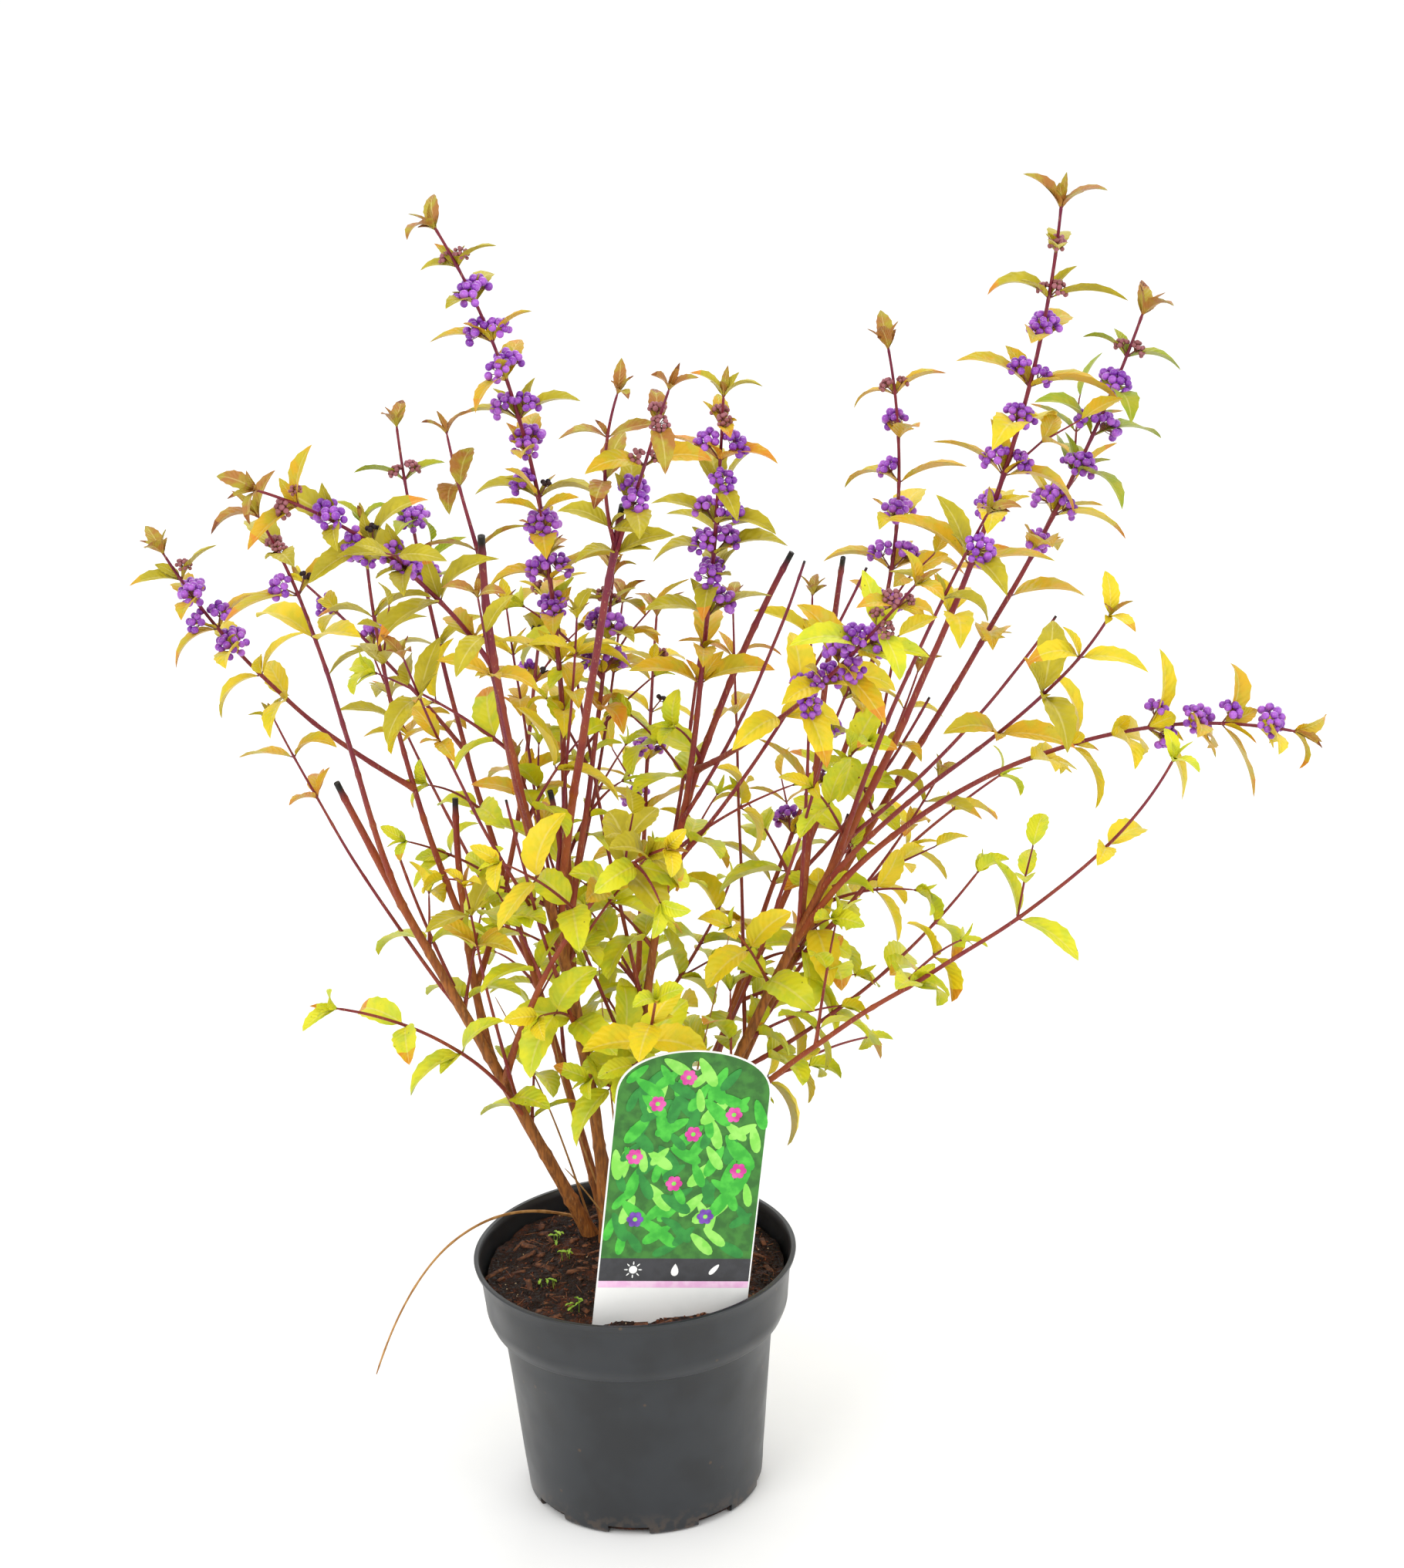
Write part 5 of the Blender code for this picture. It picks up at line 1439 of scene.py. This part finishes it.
def soil_litter(top):
    """What lies on the soil: peat crumbs, root fibres, bark chips and pale grit."""
    sow = sow_tree()
    ball = seed_shape("crumb_shape", None, 1)
    draw = random.Random(3)
    corners = [(x * draw.uniform(0.7, 1), y * draw.uniform(0.7, 1), z)
               for x in (-1, 0, 1) for y in (-1, 1) for z in (-1, 1)]
    chip = seed_shape("chip_shape", corners)
    flat, full = Vector((0.35, 0.35, math.tau)), Vector((math.pi, math.pi, math.pi))
    # Name, finish, shape, how many to a square metre, least and most size in mm, and most turn either way
    kinds = (
        ("peat_crumbs", "peat_crumb", ball, 46000, (0.6, 0.5, 0.4), (2.0, 1.7, 1.3), full),
        ("rust_crumbs", "rust_brown_crumb", ball, 14000, (0.5, 0.4, 0.3), (1.3, 1.0, 0.8), full),
        ("root_fibres", "root_fibre", chip, 16000, (1.8, 0.16, 0.12), (5.5, 0.30, 0.2), flat),
        ("bark_chips", "pine_bark_chip", chip, 4200, (2.2, 0.8, 0.4), (8.0, 2.2, 1.0), flat),
        ("pale_grit", "pale_grit", ball, 2600, (0.35, 0.35, 0.3), (0.8, 0.7, 0.6), full),
    )
    pieces = []
    for seed, (name, finish, shape, density, least, most, turn) in enumerate(kinds):
        pieces.append(run_tree(linked(name, top.data.copy()), sow, {
            "Shape": shape, "Density": float(density), "Seed": seed + 4, "Finish": plain_material(finish),
            "Least size": Vector(least) * MM, "Most size": Vector(most) * MM,
            "Least turn": -turn, "Most turn": turn}))
    bpy.data.objects.remove(top, do_unlink=True)
    return pieces


def make_sprouts():
    """Tiny green sprouts in the soil, each a pair of round leaves on a thread."""
    draw = random.Random(23)
    batch = Batch()
    for x, y in SPROUT_SPOTS:
        for _ in range(SPROUTS_AT_SPOT):
            foot = Vector((x + draw.uniform(-0.004, 0.004), y + draw.uniform(-0.004, 0.004), 0))
            foot.z = soil_height(foot.x, foot.y) - 0.0005
            lean = (draw.uniform(-0.001, 0.001), draw.uniform(-0.001, 0.001), draw.uniform(*SPROUT_HEIGHT))
            top = foot + Vector(lean)
            twig_tube([foot, top], [0.00018, 0.00015], batch, 4)
            angle = draw.uniform(0, math.tau)
            for turn in (0, math.pi):
                out = Vector((math.cos(angle + turn), math.sin(angle + turn), 0.3)).normalized()
                upside = (UP - out * out.z).normalized()
                leaf = Leaf(top, out, upside, draw.uniform(*SPROUT_LEAF), 0.0018, 0.3, "")
                points, marks, faces, _ = blade(leaf, draw)
                batch.add(points, faces, marks)
    return mesh_object("green_sprouts", batch, [plain_material("sprout_leaf")], 80)


# Label

def label_outline(inset=0.0):
    """The label's outline in its own plane, from its foot up one side, over the arch and down the other."""
    half = LABEL_WIDTH / 2 - inset
    outline = [(-half, -LABEL_FOOT + inset), (half, -LABEL_FOOT + inset)]
    for i in range(LABEL_ARCH_STEPS + 1):
        angle = math.pi * i / LABEL_ARCH_STEPS
        rise = (LABEL_APEX - LABEL_SHOULDER) * math.sin(angle) ** LABEL_ARCH_SQUARENESS
        outline.append((half * math.cos(angle), LABEL_SHOULDER + rise - inset))
    return outline


def label_point(across, out, up):
    """A place on the label, from its own plane: turned in that plane, leant back and turned about Z."""
    x = across * math.cos(LABEL_ROLL) + up * math.sin(LABEL_ROLL)
    rise = -across * math.sin(LABEL_ROLL) + up * math.cos(LABEL_ROLL)
    y = out * math.cos(LABEL_LEAN) + rise * math.sin(LABEL_LEAN)
    z = -out * math.sin(LABEL_LEAN) + rise * math.cos(LABEL_LEAN)
    turned_x = x * math.cos(LABEL_YAW) - y * math.sin(LABEL_YAW)
    turned_y = x * math.sin(LABEL_YAW) + y * math.cos(LABEL_YAW)
    return Vector((turned_x, turned_y, z)) + Vector(LABEL_PLACE)


def slab(batch, outline, front, back, finish):
    """A flat prism in the label's plane between two depths, from an outline that runs anticlockwise."""
    count = len(outline)
    points = [label_point(x, depth, z) for depth in (front, back) for x, z in outline]
    faces = [list(range(count)), list(range(2 * count - 1, count - 1, -1))]
    faces += [[(i + 1) % count, i, count + i, count + (i + 1) % count] for i in range(count)]
    batch.add(points, faces, None, finish)


def printed(batch, outline, layer, finish):
    """One motif of the print: a film of ink in front of the plate, each layer a little nearer."""
    front = -LABEL_THICKNESS / 2 - INK * layer
    slab(batch, outline, front, front + INK * 0.8, finish)


def round_outline(x, z, radius, sides=14):
    """A disc."""
    return [(x + radius * math.cos(math.tau * i / sides), z + radius * math.sin(math.tau * i / sides))
            for i in range(sides)]


def leaf_outline(x, z, angle, length, width):
    """An oval pointed leaf from its foot at (x, z)."""
    outline = []
    for i in range(14):
        turn = math.tau * i / 14
        along = length * (0.5 - 0.5 * math.cos(turn))
        off = -width / 2 * math.sin(turn) * (0.8 + 0.2 * math.cos(turn))
        outline.append((x + along * math.cos(angle) - off * math.sin(angle),
                        z + along * math.sin(angle) + off * math.cos(angle)))
    return outline


def label_fields(batch):
    """The print's plain fields: a green ground over a dark strip and a blush line."""
    half = LABEL_WIDTH / 2 - PRINT_MARGIN
    top = [point for point in label_outline(PRINT_MARGIN) if point[1] > LABEL_SHOULDER - 0.001]
    printed(batch, [(-half, PICTURE_FOOT), (half, PICTURE_FOOT)] + top, 1, GROUND)
    for low, high, finish in ((STRIP_FOOT, PICTURE_FOOT, STRIP), (LINE_FOOT, STRIP_FOOT, BLUSH)):
        printed(batch, [(-half, low), (half, low), (half, high), (-half, high)], 1, finish)


def label_motifs(batch):
    """The print's motifs: leafy sprigs with round blooms, and three plain signs on the dark strip."""
    draw = random.Random(8)
    layer = 2.0
    for row in range(PRINT_ROWS):
        for column in range(PRINT_COLUMNS):
            x = -0.040 + 0.0098 * column + draw.uniform(-0.004, 0.004)
            z = 0.040 + 0.0078 * row + draw.uniform(-0.004, 0.004)
            angle = math.radians(55 if (row + column) % 2 else 125) + draw.uniform(-0.5, 0.5)
            length = draw.uniform(*PRINT_LEAF)
            tip = x + length * math.cos(angle), z + length * math.sin(angle)
            if inside_print(x, z) and inside_print(*tip):
                finish = draw.choice((GREEN, LIGHT, GREEN, DARK))
                layer += 0.03
                printed(batch, leaf_outline(x, z, angle, length, length * PRINT_LEAF_WIDTH), layer, finish)
    for x, z in BLOOMS:
        petals = VIOLET if z < VIOLET_BLOOMS_UNDER else PINK
        for i in range(PETALS):
            angle = math.tau * i / PETALS
            spot = round_outline(x + 0.0030 * math.cos(angle), z + 0.0030 * math.sin(angle), 0.0019, 10)
            printed(batch, spot, 6.2 + 0.05 * i, petals)
        printed(batch, round_outline(x, z, 0.0013, 10), 7, LIGHT)
    label_signs(batch)


def label_signs(batch):
    """A sun with eight rays, a water drop and a leaf."""
    printed(batch, round_outline(SUN_ACROSS, SIGN_HEIGHT, 0.0024), 2, WHITE)
    for i in range(8):
        angle = math.tau * i / 8
        foot = SUN_ACROSS + 0.003 * math.cos(angle), SIGN_HEIGHT + 0.003 * math.sin(angle)
        printed(batch, leaf_outline(*foot, angle, 0.0022, 0.0009), 2, WHITE)
    drop = []
    for i in range(16):
        turn = -math.tau * (i + 1) / 16
        drop.append((-0.0028 * math.sin(turn) * math.sin(turn / 2), SIGN_HEIGHT + 0.0038 * math.cos(turn)))
    printed(batch, drop, 2, WHITE)
    printed(batch, leaf_outline(0.020, 0.0262, math.radians(50), 0.0080, 0.0036), 2, WHITE)


def inside_print(x, z):
    """Whether a place lies well within the label's picture and off its hanger hole."""
    across = max(0.0, 1 - (x / (LABEL_WIDTH / 2)) ** 2)
    shoulder = LABEL_SHOULDER + (LABEL_APEX - LABEL_SHOULDER) * across ** (LABEL_ARCH_SQUARENESS / 2)
    off_hole = math.hypot(x, z - LABEL_APEX + HANGER_HOLE_DROP) > HANGER_HOLE_RADIUS + 0.001
    return abs(x) < LABEL_WIDTH / 2 - 0.0015 and PICTURE_FOOT + 0.0015 < z < shoulder - 0.002 and off_hole


def make_label():
    """The plant label: a white plastic card with a hanger hole, and the motifs printed on its front."""
    finishes = [plain_material(name) for name in LABEL_FINISHES]
    card, hole, motifs = Batch(), Batch(), Batch()
    slab(card, label_outline(), -LABEL_THICKNESS / 2, LABEL_THICKNESS / 2, WHITE)
    label_fields(card)
    label = mesh_object("plant_label", card, finishes, 30)
    slab(hole, round_outline(0, LABEL_APEX - HANGER_HOLE_DROP, HANGER_HOLE_RADIUS, 24), -0.003, 0.003, WHITE)
    cutter = mesh_object("hole", hole, [])
    cut = label.modifiers.new("hole", "BOOLEAN")
    cut.operation = "DIFFERENCE"
    cut.object = cutter
    evaluated_mesh(label)
    bpy.data.objects.remove(cutter, do_unlink=True)
    label.data.set_sharp_from_angle(angle=math.radians(30))
    label_motifs(motifs)
    return label, mesh_object("label_print", motifs, finishes, 30)


# Stage, light and camera

CAMERA_PLACE = (0.04668, -2.175, 1.302)
CAMERA_PITCH = math.radians(21.71)
CAMERA_ROLL = math.radians(-2.43)
CAMERA_YAW = math.radians(0.09)
PICTURE_HEIGHT = 2033
FOCAL_PIXELS = 5500
SENSOR = 36
FLOOR_REACH = 30
FLOOR_GAP = 0.0002
SKY_STRENGTH = 1.12
LAMP_TARGET = Vector((0.05, 0, 0.4))
# Each lamp's name, place, width and power in watts
LAMPS = (("key", (-1.5, -2.0, 2.6), 1.6, 30), ("fill", (1.9, -1.4, 1.7), 1.4, 12),
         ("back", (0.4, 1.9, 2.3), 1.6, 16))


def make_camera():
    """The camera at the photo's place: above the pot, looking down on it."""
    level = Vector((math.sin(CAMERA_YAW), math.cos(CAMERA_YAW), 0))
    look = level * math.cos(CAMERA_PITCH) - UP * math.sin(CAMERA_PITCH)
    right = Vector((math.cos(CAMERA_YAW), -math.sin(CAMERA_YAW), 0))
    up = right.cross(look)
    x = right * math.cos(CAMERA_ROLL) + up * math.sin(CAMERA_ROLL)
    y = up * math.cos(CAMERA_ROLL) - right * math.sin(CAMERA_ROLL)
    camera = linked("camera", bpy.data.cameras.new("camera"))
    camera.data.lens = FOCAL_PIXELS * SENSOR / PICTURE_HEIGHT
    camera.data.sensor_width = SENSOR
    camera.matrix_world = Matrix((x, y, -look)).transposed().to_4x4()
    camera.location = CAMERA_PLACE
    bpy.context.scene.camera = camera


def make_stage():
    """A plain pale floor and the white surroundings of a light tent, with three soft lamps."""
    batch = Batch()
    sides = ((-1, -1), (1, -1), (1, 1), (-1, 1))
    batch.add([(x * FLOOR_REACH, y * FLOOR_REACH, -FLOOR_GAP) for x, y in sides], [[0, 1, 2, 3]])
    mesh_object("floor", batch, [plain_material("white_paper")])
    world = bpy.data.worlds.new("tent")
    world.use_nodes = True
    world.node_tree.nodes["Background"].inputs["Color"].default_value = linear("#FFFFFF")
    world.node_tree.nodes["Background"].inputs["Strength"].default_value = SKY_STRENGTH
    bpy.context.scene.world = world
    bpy.context.scene.view_settings.view_transform = "Standard"
    for name, place, size, power in LAMPS:
        lamp = bpy.data.lights.new(name, "AREA")
        lamp.size = size
        lamp.energy = power
        obj = linked(name, lamp)
        obj.location = place
        obj.rotation_euler = (LAMP_TARGET - Vector(place)).to_track_quat("-Z", "Y").to_euler()


# The whole plant

def keep_stems(limbs, masses):
    """The bark of every stem and twig. It gives all leaves and fruiting axils that they carry."""
    low, thin = low_shoots(), thin_shoots()
    trunks = [name for name in limbs if name.startswith("trunk_")]
    boughs = [name for name in limbs if name not in trunks and name != "dry_stalk"]
    foot, wood, shoots, straw = Batch(), Batch(), Batch(), Batch()
    for stem in STEMS:
        if stem.name in trunks:
            bark_tube(stem, foot)
        elif stem.name == "dry_stalk":
            bark_tube(stem, straw)
        else:
            bark_tube(stem, wood if stem.bare else shoots)
    for stem in low + thin:
        bark_tube(stem, shoots)
    for stem in dry_twigs():
        bark_tube(stem, straw)

    leaves, axils = [], []
    for number, stem in enumerate(stem for stem in [*STEMS, *low, *thin] if stem.pairs):
        grown, twigs, fruiting = grow(stem, 100 + number)
        leaves += grown
        axils += fruiting
        for places in twigs:
            twig_tube(places, [TWIG_RADIUS * share for share in TWIG_TAPER], shoots)
    bark = bark_material()
    keep(mesh_object("trunk_bark", foot, [bark], 50), "trunk_bark", *trunks)
    keep(mesh_object("limb_bark", wood, [bark], 50), "young_bark", *boughs)
    keep(mesh_object("twigs", shoots, [bark], 50), "young_bark", *masses)
    keep(mesh_object("dry_twigs", straw, [plain_material("dead_stalk")], 50), "dry_stem", "dry_stalk")
    return leaves, axils


def keep_fruit(axils, masses):
    """The berries, ripe, unripe and dried, and the stalks that carry them."""
    berries, threads = clusters(axils)
    strew, ball = strew_tree(), seed_shape("berry_shape")
    skins = {"ripe": "waxy_violet_berry_skin", "unripe": "unripe_berry_skin", "dried": "dried_berry_skin"}
    for kind, rows in berries.items():
        piece = points_object("berries_" + kind, rows)
        run_tree(piece, strew, {"Shape": ball, "Size": BERRY_RADIUS, "Finish": plain_material(skins[kind])})
        keep(piece, "berry", *masses)
    stalks = threads_object("fruit_stalks", threads)
    run_tree(stalks, thread_tree(), {"Sides": 4, "Thickness": MM, "Finish": plain_material("fruit_stalk")})
    keep(stalks, "young_bark", *masses)


def main():
    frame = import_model()
    masses = sorted(name for name in frame["nodes"] if name.startswith("foliage_"))
    limbs = sorted(name for name in frame["nodes"] if name in BY_NAME)
    # Vector noise is offset by the clock unless it is seeded
    noise.seed_set(WANDER_SEED)
    make_camera()
    make_stage()

    keep(make_pot(pot_material()), "pot", "pot")
    soil, top = make_soil(soil_material())
    keep(soil, "soil", "soil")
    for piece in soil_litter(top):
        keep(piece, "soil")
    for piece in make_label():
        keep(piece, "label", "label")

    leaves, axils = keep_stems(limbs, masses)
    trees = []
    for name in limbs + ["label"]:
        mesh = frame["nodes"][name].data
        faces = [list(polygon.vertices) for polygon in mesh.polygons]
        trees.append(BVHTree.FromPolygons([vertex.co for vertex in mesh.vertices], faces))
    for piece in leaves_pieces(leaves, trees):
        keep(piece, "foliage", *masses)
    keep_fruit(axils, masses)
    keep(make_sprouts(), "foliage")
    for obj in list(bpy.data.objects):
        if obj.name.endswith("_shape"):
            bpy.data.objects.remove(obj, do_unlink=True)

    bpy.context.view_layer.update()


main()
